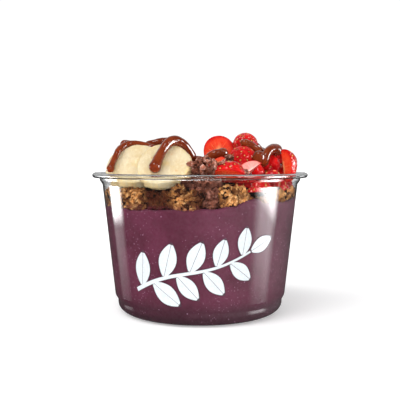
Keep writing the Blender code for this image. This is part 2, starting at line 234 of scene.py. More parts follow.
@dataclass(frozen=True)
class Finish:
    """A finish with a name, made into a material on first use."""

    name: str

    def material(self) -> bpy.types.Material:
        """The finish as a material."""
        found = bpy.data.materials.get(self.name)
        if found:
            return found
        made = bpy.data.materials.new(self.name)
        made.use_nodes = True
        tree = Tree(made.node_tree)
        self.dress(tree, made.node_tree.nodes["Principled BSDF"].inputs)
        return made

    def dress(self, tree: Tree, shader: bpy.types.bpy_prop_collection) -> None:
        """Fills in the shader's sockets."""
        raise NotImplementedError


@dataclass(frozen=True)
class ClearPlastic(Finish):
    """Thin clear plastic that lets light through to what is inside."""

    name: str = "clear_pet"
    tint: Colour = (0.97, 0.985, 0.99, 1.0)
    bend: float = 1.58

    def dress(self, tree: Tree, shader: bpy.types.bpy_prop_collection) -> None:
        """A smooth glassy shader, which the light that falls on the food passes straight through."""
        shader["Base Color"].default_value = self.tint
        shader["Transmission Weight"].default_value = 1.0
        shader["IOR"].default_value = self.bend
        waves = tree.noise(tree.place(), 60.0, 1.0)
        tree.feed(shader["Roughness"], tree.span(waves, 0.3, 0.7, 0.015, 0.05))
        nodes = tree.tree.nodes
        clear = tree.add("ShaderNodeBsdfTransparent", {"Color": (0.98, 0.985, 0.985, 1.0)})
        rays = tree.add("ShaderNodeLightPath").outputs
        straight = tree.math("MAXIMUM", rays["Is Shadow Ray"], rays["Is Diffuse Ray"])
        both = tree.add("ShaderNodeMixShader", {0: straight, 1: nodes["Principled BSDF"].outputs[0], 2: clear.outputs[0]})
        tree.feed(nodes["Material Output"].inputs["Surface"], both.outputs[0])


@dataclass(frozen=True)
class AcaiPuree(Finish):
    """Frozen acai: dusty purple, darker towards the foot of the cup as painted shade, with fine frost and small ice
    crystals.
    """

    name: str = "acai_puree"
    deep: Colour = paint(78, 14, 41)
    dusty: Colour = paint(94, 28, 56)
    frost: Colour = paint(176, 128, 156)

    def dress(self, tree: Tree, shader: bpy.types.bpy_prop_collection) -> None:
        """Mottled purple, with painted shade towards the foot of the cup and two sizes of frost specks."""
        place = tree.place()
        body = tree.mix(tree.group(Group.MOTTLE, vector=place, scale=55.0), self.deep, self.dusty)
        height = tree.add("ShaderNodeSeparateXYZ", {0: place}).outputs[2]
        # Painted shade: the purple darkens towards the foot of the cup.
        body = tree.mix(tree.span(height, 16 * MM, 3 * MM, 0.0, 0.75), body, paint(40, 9, 23))
        fine = tree.group(Group.SPECKS, vector=place, scale=1300.0, share=0.16, radius=0.42)
        patches = tree.span(tree.noise(place, 42.0), 0.45, 0.62)
        fine = tree.math("MULTIPLY", fine, tree.math("MULTIPLY", patches, 0.55))
        coarse = tree.group(Group.SPECKS, vector=place, scale=640.0, share=0.045, radius=0.28)
        mask = tree.math("MAXIMUM", fine, tree.math("MULTIPLY", coarse, 0.7))
        tree.feed(shader["Base Color"], tree.mix(mask, body, self.frost))
        grain = tree.noise(place, 700.0, 4.0)
        tree.feed(shader["Roughness"], tree.span(grain, 0.3, 0.7, 0.45, 0.7))
        tree.feed(shader["Normal"], tree.bump(grain, 0.25, 0.3 * MM))


@dataclass(frozen=True)
class BananaFlesh(Finish):
    """The cut face and side of a banana slice, by the slice's own UV map, with its centre at 0.5, 0.5."""

    name: str = "banana_flesh"
    pale: Colour = paint(217, 201, 166)
    warm: Colour = paint(208, 183, 134)
    side: Colour = paint(232, 204, 148)
    fleck: Colour = paint(206, 140, 60)

    def dress(self, tree: Tree, shader: bpy.types.bpy_prop_collection) -> None:
        """Cream with soft clouds, a few flecks and seed marks near the heart, and a tan side."""
        face = tree.add("ShaderNodeUVMap", uv_map="face").outputs[0]
        centred = tree.add("ShaderNodeVectorMath", {0: face, 1: (-0.5, -0.5, 0.0)}, operation="ADD").outputs[0]
        reach = tree.add("ShaderNodeVectorMath", {0: centred}, operation="LENGTH").outputs["Value"]
        place = tree.place()
        clouds = tree.group(Group.MOTTLE, vector=place, scale=110.0)
        body = tree.mix(tree.math("MULTIPLY", clouds, 0.8), self.pale, self.warm)
        heart = tree.math("ADD", reach, tree.math("MULTIPLY", tree.noise(place, 300.0), 0.22))
        body = tree.mix(tree.span(heart, 0.26, 0.14, 0.0, 0.4), body, paint(240, 208, 132))
        fibres = tree.add("ShaderNodeMapping", {"Vector": place, "Scale": (1.0, 0.3, 0.5)}).outputs[0]
        streaks = tree.span(tree.noise(fibres, 900.0, 3.0), 0.5, 0.72)
        body = tree.mix(tree.math("MULTIPLY", streaks, 0.3), body, paint(252, 242, 212))
        flecks = tree.group(Group.SPECKS, vector=place, scale=330.0, share=0.30, radius=0.36)
        flecks = tree.math("MULTIPLY", flecks, tree.span(reach, 0.46, 0.20, 0.0, 0.7))
        body = tree.mix(flecks, body, self.fleck)
        rind = tree.math("ADD", reach, tree.math("MULTIPLY", tree.math("SUBTRACT", clouds, 0.5), 0.06))
        body = tree.mix(tree.span(rind, 0.474, 0.506, 0.0, 0.85), body, self.side)
        tree.feed(shader["Base Color"], body)
        tree.feed(shader["Roughness"], tree.span(streaks, 0.0, 1.0, 0.5, 0.32))
        tree.feed(shader["Normal"], tree.bump(tree.noise(place, 520.0, 3.0), 0.3, 0.5 * MM))
        shader["Subsurface Weight"].default_value = 0.12
        shader["Subsurface Radius"].default_value = (0.004, 0.003, 0.0015)
        shader["Coat Weight"].default_value = 0.2
        shader["Coat Roughness"].default_value = 0.22


@dataclass(frozen=True)
class BerrySkin(Finish):
    """The glossy red skin of a strawberry."""

    name: str = "strawberry_skin"
    deep: Colour = paint(168, 8, 16)
    bright: Colour = paint(222, 24, 22)
    # Pale specks painted on the skin as small highlights: their colour, and the share of them that shows.
    painted_highlight: Colour = paint(250, 170, 160)
    painted_highlight_share: float = 0.12

    def dress(self, tree: Tree, shader: bpy.types.bpy_prop_collection) -> None:
        """Red that varies in broad clouds, with painted shade in the dimples and pale specks of painted highlight."""
        place = tree.place()
        body = tree.mix(tree.group(Group.MOTTLE, vector=place, scale=90.0), self.deep, self.bright)
        # Painted shade: darker red in the dimples round the seeds.
        body = tree.mix(tree.math("MULTIPLY", tree.attribute("dimple"), 0.6), body, paint(120, 4, 12))
        # Pale specks: painted highlights.
        painted_highlights = tree.group(Group.SPECKS, vector=place, scale=800.0, share=0.42, radius=0.45)
        body = tree.mix(tree.math("MULTIPLY", painted_highlights, self.painted_highlight_share), body, self.painted_highlight)
        tree.feed(shader["Base Color"], body)
        tree.feed(shader["Roughness"], tree.span(tree.noise(place, 500.0), 0.3, 0.7, 0.22, 0.38))
        tree.feed(shader["Normal"], tree.bump(tree.noise(place, 420.0, 3.0), 0.25, 0.4 * MM))
        shader["Subsurface Weight"].default_value = 0.08
        shader["Subsurface Radius"].default_value = (0.003, 0.0008, 0.0006)
        shader["Specular IOR Level"].default_value = 0.12
        glints = tree.noise(place, 640.0, 2.0)
        tree.feed(shader["Coat Weight"], tree.span(glints, 0.46, 0.62, 0.10, 1.0))
        shader["Coat Roughness"].default_value = 0.10


@dataclass(frozen=True)
class BerryFlesh(Finish):
    """The wet cut face of a strawberry, by the piece's own UV map, with its core at 0.5, 0.5."""

    name: str = "strawberry_flesh"
    rim: Colour = paint(206, 20, 20)
    flesh: Colour = paint(232, 60, 34)
    ray: Colour = paint(250, 150, 88)
    core: Colour = paint(250, 172, 112)

    def dress(self, tree: Tree, shader: bpy.types.bpy_prop_collection) -> None:
        """A red rim, orange-red flesh with pale rays, and a pale core."""
        face = tree.add("ShaderNodeUVMap", uv_map="face").outputs[0]
        centred = tree.add("ShaderNodeVectorMath", {0: face, 1: (-0.5, -0.5, 0.0)}, operation="ADD").outputs[0]
        parts = tree.add("ShaderNodeSeparateXYZ", {0: centred})
        across, along = parts.outputs[0], parts.outputs[1]
        place = tree.place()
        cloud = tree.math("SUBTRACT", tree.noise(place, 260.0), 0.5)
        reach = tree.add("ShaderNodeVectorMath", {0: centred}, operation="LENGTH").outputs["Value"]
        reach = tree.math("ADD", reach, tree.math("MULTIPLY", cloud, 0.12))
        body = tree.mix(tree.span(reach, 0.36, 0.47), self.flesh, self.rim)
        angle = tree.math("ARCTAN2", along, across)
        fan = tree.add("ShaderNodeCombineXYZ", {0: tree.math("MULTIPLY", angle, 5.0), 1: reach}).outputs[0]
        rays = tree.span(tree.noise(fan, 2.2, 2.0), 0.5, 0.68)
        rays = tree.math("MULTIPLY", rays, tree.span(reach, 0.44, 0.16))
        body = tree.mix(tree.math("MULTIPLY", rays, 0.75), body, self.ray)
        narrow = tree.math("MULTIPLY", across, 2.1)
        heart = tree.math("ADD", tree.math("MULTIPLY", narrow, narrow), tree.math("MULTIPLY", along, along))
        heart = tree.math("ADD", tree.math("SQRT", heart), tree.math("MULTIPLY", cloud, 0.2))
        body = tree.mix(tree.span(heart, 0.30, 0.08, 0.0, 0.75), body, self.core)
        tree.feed(shader["Base Color"], body)
        wet = tree.noise(place, 420.0, 3.0)
        tree.feed(shader["Roughness"], tree.span(wet, 0.3, 0.7, 0.22, 0.42))
        relief = tree.math("ADD", wet, tree.math("MULTIPLY", rays, 0.5))
        tree.feed(shader["Normal"], tree.bump(relief, 0.3, 0.5 * MM))
        shader["Subsurface Weight"].default_value = 0.15
        shader["Subsurface Radius"].default_value = (0.004, 0.001, 0.0007)
        shader["Specular IOR Level"].default_value = 0.25


@dataclass(frozen=True)
class BerrySeed(Finish):
    """Golden seeds in the dimples of the skin."""

    name: str = "strawberry_seed"
    gold: Colour = paint(226, 176, 84)
    brown: Colour = paint(168, 88, 34)

    def dress(self, tree: Tree, shader: bpy.types.bpy_prop_collection) -> None:
        """Gold to brown, from seed to seed."""
        tree.feed(shader["Base Color"], tree.mix(tree.attribute("tone"), self.gold, self.brown))
        tree.feed(shader["Roughness"], tree.span(tree.noise(tree.place(), 900.0), 0.3, 0.7, 0.3, 0.45))


@dataclass(frozen=True)
class Crumb(Finish):
    """Toasted or roasted crumbs, each with its own tone, dusted in places."""

    name: str
    dark: Colour
    light: Colour
    dust: Colour
    dust_share: float = 0.3
    sheen: float = 0.5
    clumps: float = 0.0
    banded: bool = False
    # Height from which the crumbs are lit and dusted in full: painted light from above, darker and less dusted lower
    # down.
    lit_and_dusted_from: float = -1.0

    def dress(self, tree: Tree, shader: bpy.types.bpy_prop_collection) -> None:
        """A tone for each crumb, mottled, with dust in places; for the nibs, painted light from above makes the top of
        the heap lighter and more dusted.
        """
        place = tree.place()
        # On lumps the tone also carries painted shade in the dents.
        tone = tree.attribute("tone")
        cloud = tree.group(Group.MOTTLE, vector=place, scale=300.0)
        tone = tree.math("ADD", tree.math("MULTIPLY", tone, 0.75), tree.math("MULTIPLY", cloud, 0.25))
        if self.banded:
            across = tree.add("ShaderNodeSeparateXYZ", {0: place}).outputs[0]
            zones = tree.ramp(tree.math("MULTIPLY_ADD", across, 1 / (104 * MM), 0.5), GOLD_ZONES)
            tone = tree.math("MULTIPLY", tone, tree.add("ShaderNodeSeparateColor", {0: zones}).outputs[0])
        clump = tree.span(tree.noise(place, 190.0, 2.0), 0.42, 0.58, 1.0 - self.clumps, 1.0)
        tone = tree.math("MULTIPLY", tone, clump)
        specks = tree.group(Group.SPECKS, vector=place, scale=900.0, share=self.dust_share, radius=0.6)
        clouds = tree.span(tree.noise(place, 380.0, 4.0), 0.5, 0.66)
        powder = tree.math("MAXIMUM", tree.math("MULTIPLY", specks, 0.6), clouds)
        powder = tree.math("MULTIPLY", powder, tree.span(tone, 0.05, 0.6, 0.02, 1.0))
        # Painted light from above: lower crumbs are darker and carry less dust.
        height = tree.add("ShaderNodeSeparateXYZ", {0: place}).outputs[2]
        lit_above = tree.span(height, self.lit_and_dusted_from, self.lit_and_dusted_from + 10 * MM, 0.15, 1.0)
        powder = tree.math("MULTIPLY", powder, lit_above)
        tone = tree.math("MULTIPLY", tone, tree.span(lit_above, 0.15, 1.0, 0.6, 1.0))
        body = tree.mix(tone, self.dark, self.light)
        body = tree.mix(tree.math("MULTIPLY", powder, self.dust_share), body, self.dust)
        if self.banded:
            stain = tree.math("MULTIPLY", tree.span(height, 62 * MM, 58 * MM), tree.span(clouds, 0.0, 1.0, 0.5, 0.1))
            body = tree.mix(stain, body, ACAI.dusty)
        tree.feed(shader["Base Color"], body)
        tree.feed(shader["Roughness"], tree.span(powder, 0.0, 1.0, self.sheen, 0.85))
        tree.feed(shader["Normal"], tree.bump(tree.noise(place, 800.0, 4.0), 0.6, 0.5 * MM))
        shader["Specular IOR Level"].default_value = 0.06


def grey(share: float) -> Colour:
    """A grey of that share of white."""
    return share, share, share, 1.0


GOLD_ZONES = (
    (0.00, grey(0.60)),
    (0.10, grey(0.90)),
    (0.19, grey(0.80)),
    (0.26, grey(0.04)),
    (0.35, grey(0.07)),
    (0.40, grey(0.75)),
    (0.45, grey(0.60)),
    (0.49, grey(0.12)),
    (0.57, grey(0.25)),
    (0.61, grey(1.00)),
    (0.71, grey(1.00)),
    (0.78, grey(0.60)),
    (0.92, grey(0.90)),
)


@dataclass(frozen=True)
class ChocolateSpread(Finish):
    """Smooth glossy brown spread."""

    name: str = "glossy_spread"
    body: Colour = paint(106, 38, 16)
    thin: Colour = paint(142, 62, 28)

    def dress(self, tree: Tree, shader: bpy.types.bpy_prop_collection) -> None:
        """Reddish brown with a clear gloss and slow waves."""
        place = tree.place()
        cloud = tree.group(Group.MOTTLE, vector=place, scale=120.0)
        tree.feed(shader["Base Color"], tree.mix(tree.math("MULTIPLY", cloud, 0.6), self.body, self.thin))
        tree.feed(shader["Roughness"], tree.span(tree.noise(place, 350.0), 0.3, 0.7, 0.08, 0.16))
        tree.feed(shader["Normal"], tree.bump(tree.noise(place, 200.0, 2.0), 0.2, 0.8 * MM))
        shader["Specular IOR Level"].default_value = 0.2
        shader["Coat Weight"].default_value = 1.0
        shader["Coat Roughness"].default_value = 0.03
        shader["Subsurface Weight"].default_value = 0.05
        shader["Subsurface Radius"].default_value = (0.002, 0.0008, 0.0004)


@dataclass(frozen=True)
class Ink(Finish):
    """Printed ink, a little uneven where it is thin; its dark kind paints the shadow of the print."""

    full: Colour
    thin: Colour

    def dress(self, tree: Tree, shader: bpy.types.bpy_prop_collection) -> None:
        """The ink's colour with a faint grain."""
        grain = tree.noise(tree.place(), 900.0, 2.0)
        tree.feed(shader["Base Color"], tree.mix(tree.span(grain, 0.3, 0.7), self.full, self.thin))
        tree.feed(shader["Roughness"], tree.span(grain, 0.3, 0.7, 0.28, 0.4))


ACAI = AcaiPuree()
PLASTIC = ClearPlastic()
OATS = Crumb("toasted_oats", paint(58, 17, 7), paint(255, 174, 98), paint(255, 222, 164), 0.35, 0.5, 0.5, True)
# A core painted nearly black: the shade in the gaps between the strewn flakes.
OAT_CORE = Crumb("granola_core", paint(26, 10, 5), paint(66, 30, 14), paint(110, 62, 30), 0.15, 0.5)
# Cacao nibs, painted lighter and more dusted towards the top of the heap, as light from above.
NIBS = Crumb("cacao_nib", paint(46, 16, 9), paint(206, 126, 100), paint(244, 204, 192), 0.65, 0.34, 0.4, lit_and_dusted_from=69 * MM)
# A core painted nearly black: the shade in the gaps between the strewn nibs.
NIB_CORE = Crumb("nib_core", paint(22, 10, 8), paint(44, 22, 18), paint(70, 46, 40), 0.2, 0.6)
SPREAD = ChocolateSpread()
WHITE_INK = Ink("white_ink", paint(203, 209, 212), paint(192, 199, 204))
# Painted shadow: the dark layer under the white print, seen as a thin outline round it and in the vein.
PAINTED_SHADOW_INK = Ink("painted_shadow_ink", paint(62, 38, 50), paint(78, 52, 64))
SKIN = BerrySkin()
# Skin with many pale specks of painted highlight.
HIGHLIGHT_PAINTED_SKIN = BerrySkin("strawberry_skin_painted_highlights", painted_highlight_share=0.95)
FLESH = BerryFlesh()
PALE_FLESH = BerryFlesh(
    "strawberry_shoulder", paint(214, 70, 60), paint(236, 150, 140), paint(250, 214, 204), paint(252, 226, 216)
)
BANANA = BananaFlesh()


# ---------------------------------------------------------------------------------------------------------
# Shapes
# ---------------------------------------------------------------------------------------------------------


def outward(shape: bmesh.types.BMesh) -> None:
    """Turns the faces of a closed shape to point out."""
    bmesh.ops.recalc_face_normals(shape, faces=shape.faces)
    if shape.calc_volume(signed=True) < 0:
        bmesh.ops.reverse_faces(shape, faces=shape.faces)


def piece_from(name: str, mesh: bpy.types.Mesh, finishes: Sequence[Finish] = ()) -> bpy.types.Object:
    """Links a mesh as an object at the origin, with its finishes."""
    made = bpy.data.objects.new(name, mesh)
    for finish in finishes:
        mesh.materials.append(finish.material())
    bpy.context.scene.collection.objects.link(made)
    return made


def mesh_of(name: str, shape: bmesh.types.BMesh, smooth: bool = True) -> bpy.types.Mesh:
    """Turns a bmesh into a mesh and frees it."""
    mesh = bpy.data.meshes.new(name)
    shape.to_mesh(mesh)
    shape.free()
    if smooth:
        mesh.shade_smooth()
    return mesh


def skin(rings: Sequence[np.ndarray], name: str) -> bpy.types.Mesh:
    """Joins rings of points into a closed solid.

    Args:
        rings: Arrays of points, the first and last of them a single point each.
        name: The mesh's name.

    Returns:
        The mesh, with its faces pointing out.
    """
    shape = bmesh.new()
    rows = [[shape.verts.new(point) for point in ring] for ring in rings]
    for low, high in zip(rows, rows[1:]):
        count = max(len(low), len(high))
        for i in range(count):
            j = (i + 1) % count
            if len(low) == 1:
                shape.faces.new((low[0], high[j], high[i]))
            elif len(high) == 1:
                shape.faces.new((low[i], low[j], high[0]))
            else:
                shape.faces.new((low[i], low[j], high[j], high[i]))
    outward(shape)
    return mesh_of(name, shape)


def baked(source: bpy.types.Object, name: str) -> bpy.types.Mesh:
    """The evaluated mesh of an object with its modifiers, which is then removed."""
    bpy.context.view_layer.update()
    graph = bpy.context.evaluated_depsgraph_get()
    mesh = bpy.data.meshes.new_from_object(source.evaluated_get(graph), depsgraph=graph)
    mesh.name = name
    bpy.data.objects.remove(source)
    return mesh


def corners(points: np.ndarray) -> tuple[np.ndarray, np.ndarray]:
    """The lowest and highest corners of some points."""
    return points.min(axis=0), points.max(axis=0)


def fitting(points: np.ndarray, node: str) -> tuple[float, Vector]:
    """How a shape is scaled and then moved to lie in a node's box, with its middle at the box's middle."""
    low, high = (np.array(corner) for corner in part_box(node))
    own_low, own_high = corners(points)
    scale = float(min(1.0, np.min((high - low) / (own_high - own_low))))
    return scale, Vector((low + high) / 2 - (own_low + own_high) / 2 * scale)


def settled(obj: bpy.types.Object, slot: str, *nodes: str) -> bpy.types.Object:
    """Attaches a finished piece to the body, hides the nodes it stands for and logs its face count."""
    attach(obj, BODY)
    if nodes:
        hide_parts(*nodes)
    LOG.info("%s: %d faces", obj.name, len(obj.data.polygons))
    return obj


# ---------------------------------------------------------------------------------------------------------
# Scattered things
# ---------------------------------------------------------------------------------------------------------


class Scatter:
    """Things strewn over a surface, or planted on points, by a geometry tree."""

    SOCKETS = {
        "Density": "NodeSocketFloat",
        "Smallest": "NodeSocketFloat",
        "Largest": "NodeSocketFloat",
        "Tilt": "NodeSocketFloat",
        "Seed": "NodeSocketInt",
        "Pieces": "NodeSocketCollection",
        "Finish": "NodeSocketMaterial",
    }

    def __init__(self, name: str, planted: bool = False) -> None:
        """Builds the tree.

        Args:
            name: The tree's name.
            planted: Whether there is one thing for each point, turned by the points' attribute "up".
        """
        self.made = bpy.data.node_groups.new(name, "GeometryNodeTree")
        self.made.interface.new_socket(name="Geometry", in_out="INPUT", socket_type="NodeSocketGeometry")
        for socket, kind in self.SOCKETS.items():
            self.made.interface.new_socket(name=socket, in_out="INPUT", socket_type=kind)
        self.made.interface.new_socket(name="Geometry", in_out="OUTPUT", socket_type="NodeSocketGeometry")
        tree = Tree(self.made)
        given = tree.add("NodeGroupInput").outputs
        points, turn = self._planted(tree, given) if planted else self._strewn(tree, given)
        tilt = tree.add("ShaderNodeCombineXYZ", {0: given["Tilt"], 1: given["Tilt"], 2: math.pi}).outputs[0]
        back = tree.add("ShaderNodeVectorMath", {0: tilt, 3: -1.0}, operation="SCALE").outputs[0]
        spin = self._random(tree, given, "FLOAT_VECTOR", back, tilt, 1)
        spin = tree.add("FunctionNodeEulerToRotation", {0: spin}).outputs[0]
        turn = tree.add("FunctionNodeRotateRotation", {0: turn, 1: spin}, rotation_space="LOCAL").outputs[0]
        size = self._random(tree, given, "FLOAT", given["Smallest"], given["Largest"], 2)
        source = tree.add(
            "GeometryNodeCollectionInfo",
            {"Collection": given["Pieces"], "Separate Children": True, "Reset Children": True},
        ).outputs[0]
        placed = tree.add(
            "GeometryNodeInstanceOnPoints",
            {"Points": points, "Instance": source, "Pick Instance": True, "Rotation": turn, "Scale": size},
        ).outputs[0]
        toned = tree.add(
            "GeometryNodeStoreNamedAttribute",
            {"Geometry": placed, "Name": "tone", "Value": self._random(tree, given, "FLOAT", 0.0, 1.0, 3)},
            data_type="FLOAT",
            domain="INSTANCE",
        ).outputs[0]
        real = tree.add("GeometryNodeRealizeInstances", {0: toned}).outputs[0]
        done = tree.add("GeometryNodeSetMaterial", {"Geometry": real, "Material": given["Finish"]}).outputs[0]
        tree.add("NodeGroupOutput", {0: done})

    def _strewn(self, tree: Tree, given: bpy.types.bpy_prop_collection) -> tuple:
        """Random points on the faces, thicker where the attribute "show" is higher."""
        show = tree.add("GeometryNodeInputNamedAttribute", {"Name": "show"}, data_type="FLOAT").outputs[0]
        density = tree.math("MULTIPLY", given["Density"], show)
        inputs = {"Mesh": given["Geometry"], "Density": density, "Seed": given["Seed"]}
        node = tree.add("GeometryNodeDistributePointsOnFaces", inputs)
        return node.outputs["Points"], node.outputs["Rotation"]

    def _planted(self, tree: Tree, given: bpy.types.bpy_prop_collection) -> tuple:
        """The points as they are, each turned to its attribute "up"."""
        up = tree.add("GeometryNodeInputNamedAttribute", {"Name": "up"}, data_type="FLOAT_VECTOR").outputs[0]
        turn = tree.add("FunctionNodeAlignRotationToVector", {"Vector": up}, axis="Z").outputs[0]
        return given["Geometry"], turn

    def _random(self, tree: Tree, given, kind: str, low: object, high: object, offset: int):
        """A random value for each thing, from the seed plus an offset."""
        seed = tree.math("ADD", given["Seed"], float(offset))
        node = tree.add("FunctionNodeRandomValue", {"Seed": seed}, data_type=kind)
        first = 0 if kind == "FLOAT_VECTOR" else 2
        tree.feed(node.inputs[first], low)
        tree.feed(node.inputs[first + 1], high)
        return node.outputs[0 if kind == "FLOAT_VECTOR" else 1]

    def over(self, base: bpy.types.Mesh, name: str, **values: object) -> bpy.types.Mesh:
        """Strews the things over a mesh.

        Args:
            base: The mesh they lie on or are planted on.
            name: The name of the result.
            **values: The tree's inputs, in lower case.

        Returns:
            A plain mesh of the things alone.
        """
        carrier = piece_from(name + "_carrier", base)
        modifier = carrier.modifiers.new("scatter", "NODES")
        modifier.node_group = self.made
        for item in self.made.interface.items_tree:
            if item.in_out == "INPUT" and item.name.lower() in values:
                modifier[item.identifier] = values[item.name.lower()]
        mesh = baked(carrier, name)
        mesh.shade_smooth()
        return mesh


class Kinds:
    """A few small shapes to strew, kept in a collection that no render sees."""

    def __init__(self, name: str, count: int, rings: int, size: Vector, rough: float, seed: int) -> None:
        """Makes the shapes.

        Args:
            name: The collection's name.
            count: How many different shapes there are.
            rings: How finely each is divided.
            size: Half their length, width and thickness.
            rough: How far the surface strays, as a share of the radius.
            seed: The seed of their differences.
        """
        self.collection = bpy.data.collections.new(name)
        lot = random.Random(seed)
        for i in range(count):
            shape = bmesh.new()
            bmesh.ops.create_uvsphere(shape, u_segments=rings * 2 + 1, v_segments=rings, radius=1.0)
            offset = Vector([lot.uniform(-50, 50) for _ in range(3)])
            stretch = Vector([axis * lot.uniform(0.8, 1.15) for axis in size])
            for vert in shape.verts:
                vert.co *= 1 + rough * noise.noise(vert.co * 1.1 + offset) * 2
                vert.co = Vector(a * b for a, b in zip(vert.co, stretch))
            outward(shape)
            made = bpy.data.objects.new(f"{name}_{i}", mesh_of(f"{name}_{i}", shape))
            self.collection.objects.link(made)

    def drop(self) -> None:
        """Removes the shapes once they have been strewn."""
        for made in list(self.collection.objects):
            bpy.data.objects.remove(made)
        bpy.data.collections.remove(self.collection)


def show_by(mesh: bpy.types.Mesh, rule: Callable[[Vector, Vector], float]) -> None:
    """Stores the attribute "show" from a rule on each vertex's place and normal."""
    shown = mesh.attributes.new("show", "FLOAT", "POINT")
    for vert, item in zip(mesh.vertices, shown.data):
        item.value = rule(vert.co, vert.normal)


# ---------------------------------------------------------------------------------------------------------
# The cup and what fills it
# ---------------------------------------------------------------------------------------------------------


@dataclass
class Cup:
    """The clear cup: one thin shell with a curled lip, a stacking shoulder and a stepped foot."""

    wall: float = 0.6 * MM
    rim_radius: float = 58.5 * MM
    height: float = 76.0 * MM
    neck_radius: float = 54.3 * MM
    neck_bottom: float = 71.8 * MM
    shoulder_radius: float = 53.1 * MM
    shoulder_bottom: float = 70.1 * MM
    wall_foot_radius: float = 46.5 * MM
    wall_foot: float = 10.2 * MM
    step_radius: float = 45.0 * MM
    step: float = 7.6 * MM
    heel_width: float = 7.6 * MM
    heel_height: float = 5.6 * MM
    ring_width: float = 2.4 * MM
    recess: float = 1.4 * MM
    segments: int = 160

    def arc(self, centre: tuple, width: float, height: float, start: float, end: float, steps: int) -> list:
        """Points (radius, z) on an elliptical arc, with angles in degrees."""
        angles = [math.radians(start + (end - start) * i / steps) for i in range(steps + 1)]
        return [(centre[0] + width * math.cos(a), centre[1] + height * math.sin(a)) for a in angles]

    def foot_path(self) -> list[tuple[float, float]]:
        """The middle of the wall from the foot of the straight wall to the middle of the base."""
        half = self.wall / 2
        heel_centre = (self.step_radius - half - self.heel_width, half + self.heel_height)
        heel = self.arc(heel_centre, self.heel_width, self.heel_height, 0, -90, 12)
        ring = heel_centre[0] - self.ring_width
        base = [(ring, half), (ring - self.recess, half + self.recess), (0.0, half + self.recess)]
        return [(self.wall_foot_radius - half, self.wall_foot), (self.step_radius - half, self.step), *heel, *base]

    def path(self) -> list[tuple[float, float]]:
        """The middle of the whole wall, from the curled edge of the lip to the middle of the base."""
        half = self.wall / 2
        lip_middle = self.rim_radius - 1.6 * MM
        lip = self.arc((lip_middle, self.height - half - 1.1 * MM), 1.6 * MM - half, 1.1 * MM, -60, 90, 12)
        neck = [(self.neck_radius + 0.5 * MM, self.height - 1.0 * MM), (self.neck_radius, self.height - 2 * MM)]
        neck.append((self.neck_radius - 0.1 * MM, self.neck_bottom))
        shoulder = [(self.shoulder_radius - half, self.shoulder_bottom)]
        return self.eased(lip + neck + shoulder + self.foot_path())

    def eased(self, points: list[tuple[float, float]], radius: float = 0.7 * MM) -> list[tuple[float, float]]:
        """Rounds the corners of a path."""
        line = [Vector(point) for point in points]
        made = [line[0]]
        for before, corner, after in zip(line, line[1:], line[2:]):
            back, ahead = before - corner, after - corner
            start = corner + back.normalized() * min(radius, back.length * 0.4)
            end = corner + ahead.normalized() * min(radius, ahead.length * 0.4)
            for t in (0.0, 0.33, 0.67, 1.0):
                made.append(start * (1 - t) ** 2 + corner * (2 * t * (1 - t)) + end * t * t)
        made.append(line[-1])
        return [tuple(point) for point in made]

    def wall_radius(self, z: float) -> float:
        """The middle of the straight wall at height z."""
        half = self.wall / 2
        share = (z - self.wall_foot) / (self.shoulder_bottom - self.wall_foot)
        low, high = self.wall_foot_radius - half, self.shoulder_radius - half
        return low + (high - low) * min(1.0, share)

    def build(self) -> None:
        """The shell, from its path turned round Z and given its wall."""
        mesh = bpy.data.meshes.new("cup_path")
        points = [(radius, 0.0, z) for radius, z in self.path()]
        mesh.from_pydata(points, [(i, i + 1) for i in range(len(points) - 1)], [])
        turned = piece_from("cup_turned", mesh)
        turn = turned.modifiers.new("turn", "SCREW")
        turn.steps = turn.render_steps = self.segments
        turn.use_merge_vertices = True
        turn.merge_threshold = 0.00001
        wall = turned.modifiers.new("wall", "SOLIDIFY")
        wall.thickness = self.wall
        wall.offset = 0.0
        wall.use_even_offset = True
        shell = baked(turned, "cup_shell")
        shape = bmesh.new()
        shape.from_mesh(shell)
        outward(shape)
        shape.to_mesh(shell)
        shape.free()
        shell.shade_smooth()
        settled(piece_from("cup_shell", shell, [PLASTIC]), "clear_plastic", "cup")


@dataclass
class Levels:
    """How high the acai, the granola and the ridge of nibs reach."""

    acai_left: float = 58.5 * MM
    acai_right: float = 62.2 * MM
    granola_top: float = 67.2 * MM
    mound: float = 3.0 * MM
    content_radius: float = 52.2 * MM
    ridge_x: float = 0.9 * MM
    ridge_half_width: float = 6.3 * MM
    ridge_half_length: float = 49.0 * MM
    ridge_foot: float = 66.0 * MM
    ridge_rise: float = 15.5 * MM

    def acai(self, x: float, y: float) -> float:
        """The acai's top, smeared higher up the wall on the right, with a soft roll and dome."""
        rise = smooth_step(6 * MM, 34 * MM, x)
        roll = 0.5 * MM * math.sin(x / (9 * MM) + 1.0) + 0.4 * MM * math.sin(y / (11 * MM))
        dome = 1.2 * MM * (1 - (x * x + y * y) / self.content_radius**2)
        return self.acai_left + (self.acai_right - self.acai_left) * rise + roll + dome

    def granola(self, x: float, y: float) -> float:
        """The granola bed's top: clusters in a layer that mounds in the middle and thins to the right."""
        lumps = math.sin(x / (7.1 * MM) + 0.6) * math.sin(y / (6.3 * MM) + 1.1)
        mound = self.mound * max(0.0, 1 - (x * x + y * y) / (34 * MM) ** 2)
        dip = 3.4 * MM * math.exp(-((x - 27 * MM) ** 2 + (y + 40 * MM) ** 2) / (8 * MM) ** 2)
        thin = 1.4 * MM * smooth_step(20 * MM, 40 * MM, x)
        return self.granola_top + 0.5 * MM * lumps + mound - thin - dip

    def nibs(self, x: float, y: float) -> float:
        """The top of the ridge of nibs, which runs from front to back."""
        across = (x - self.ridge_x) / (self.ridge_half_width + 0.6 * MM)
        along = y / (self.ridge_half_length + 8 * MM)
        return self.ridge_foot + self.ridge_rise * (1 - across * across) * (1 - along * along)


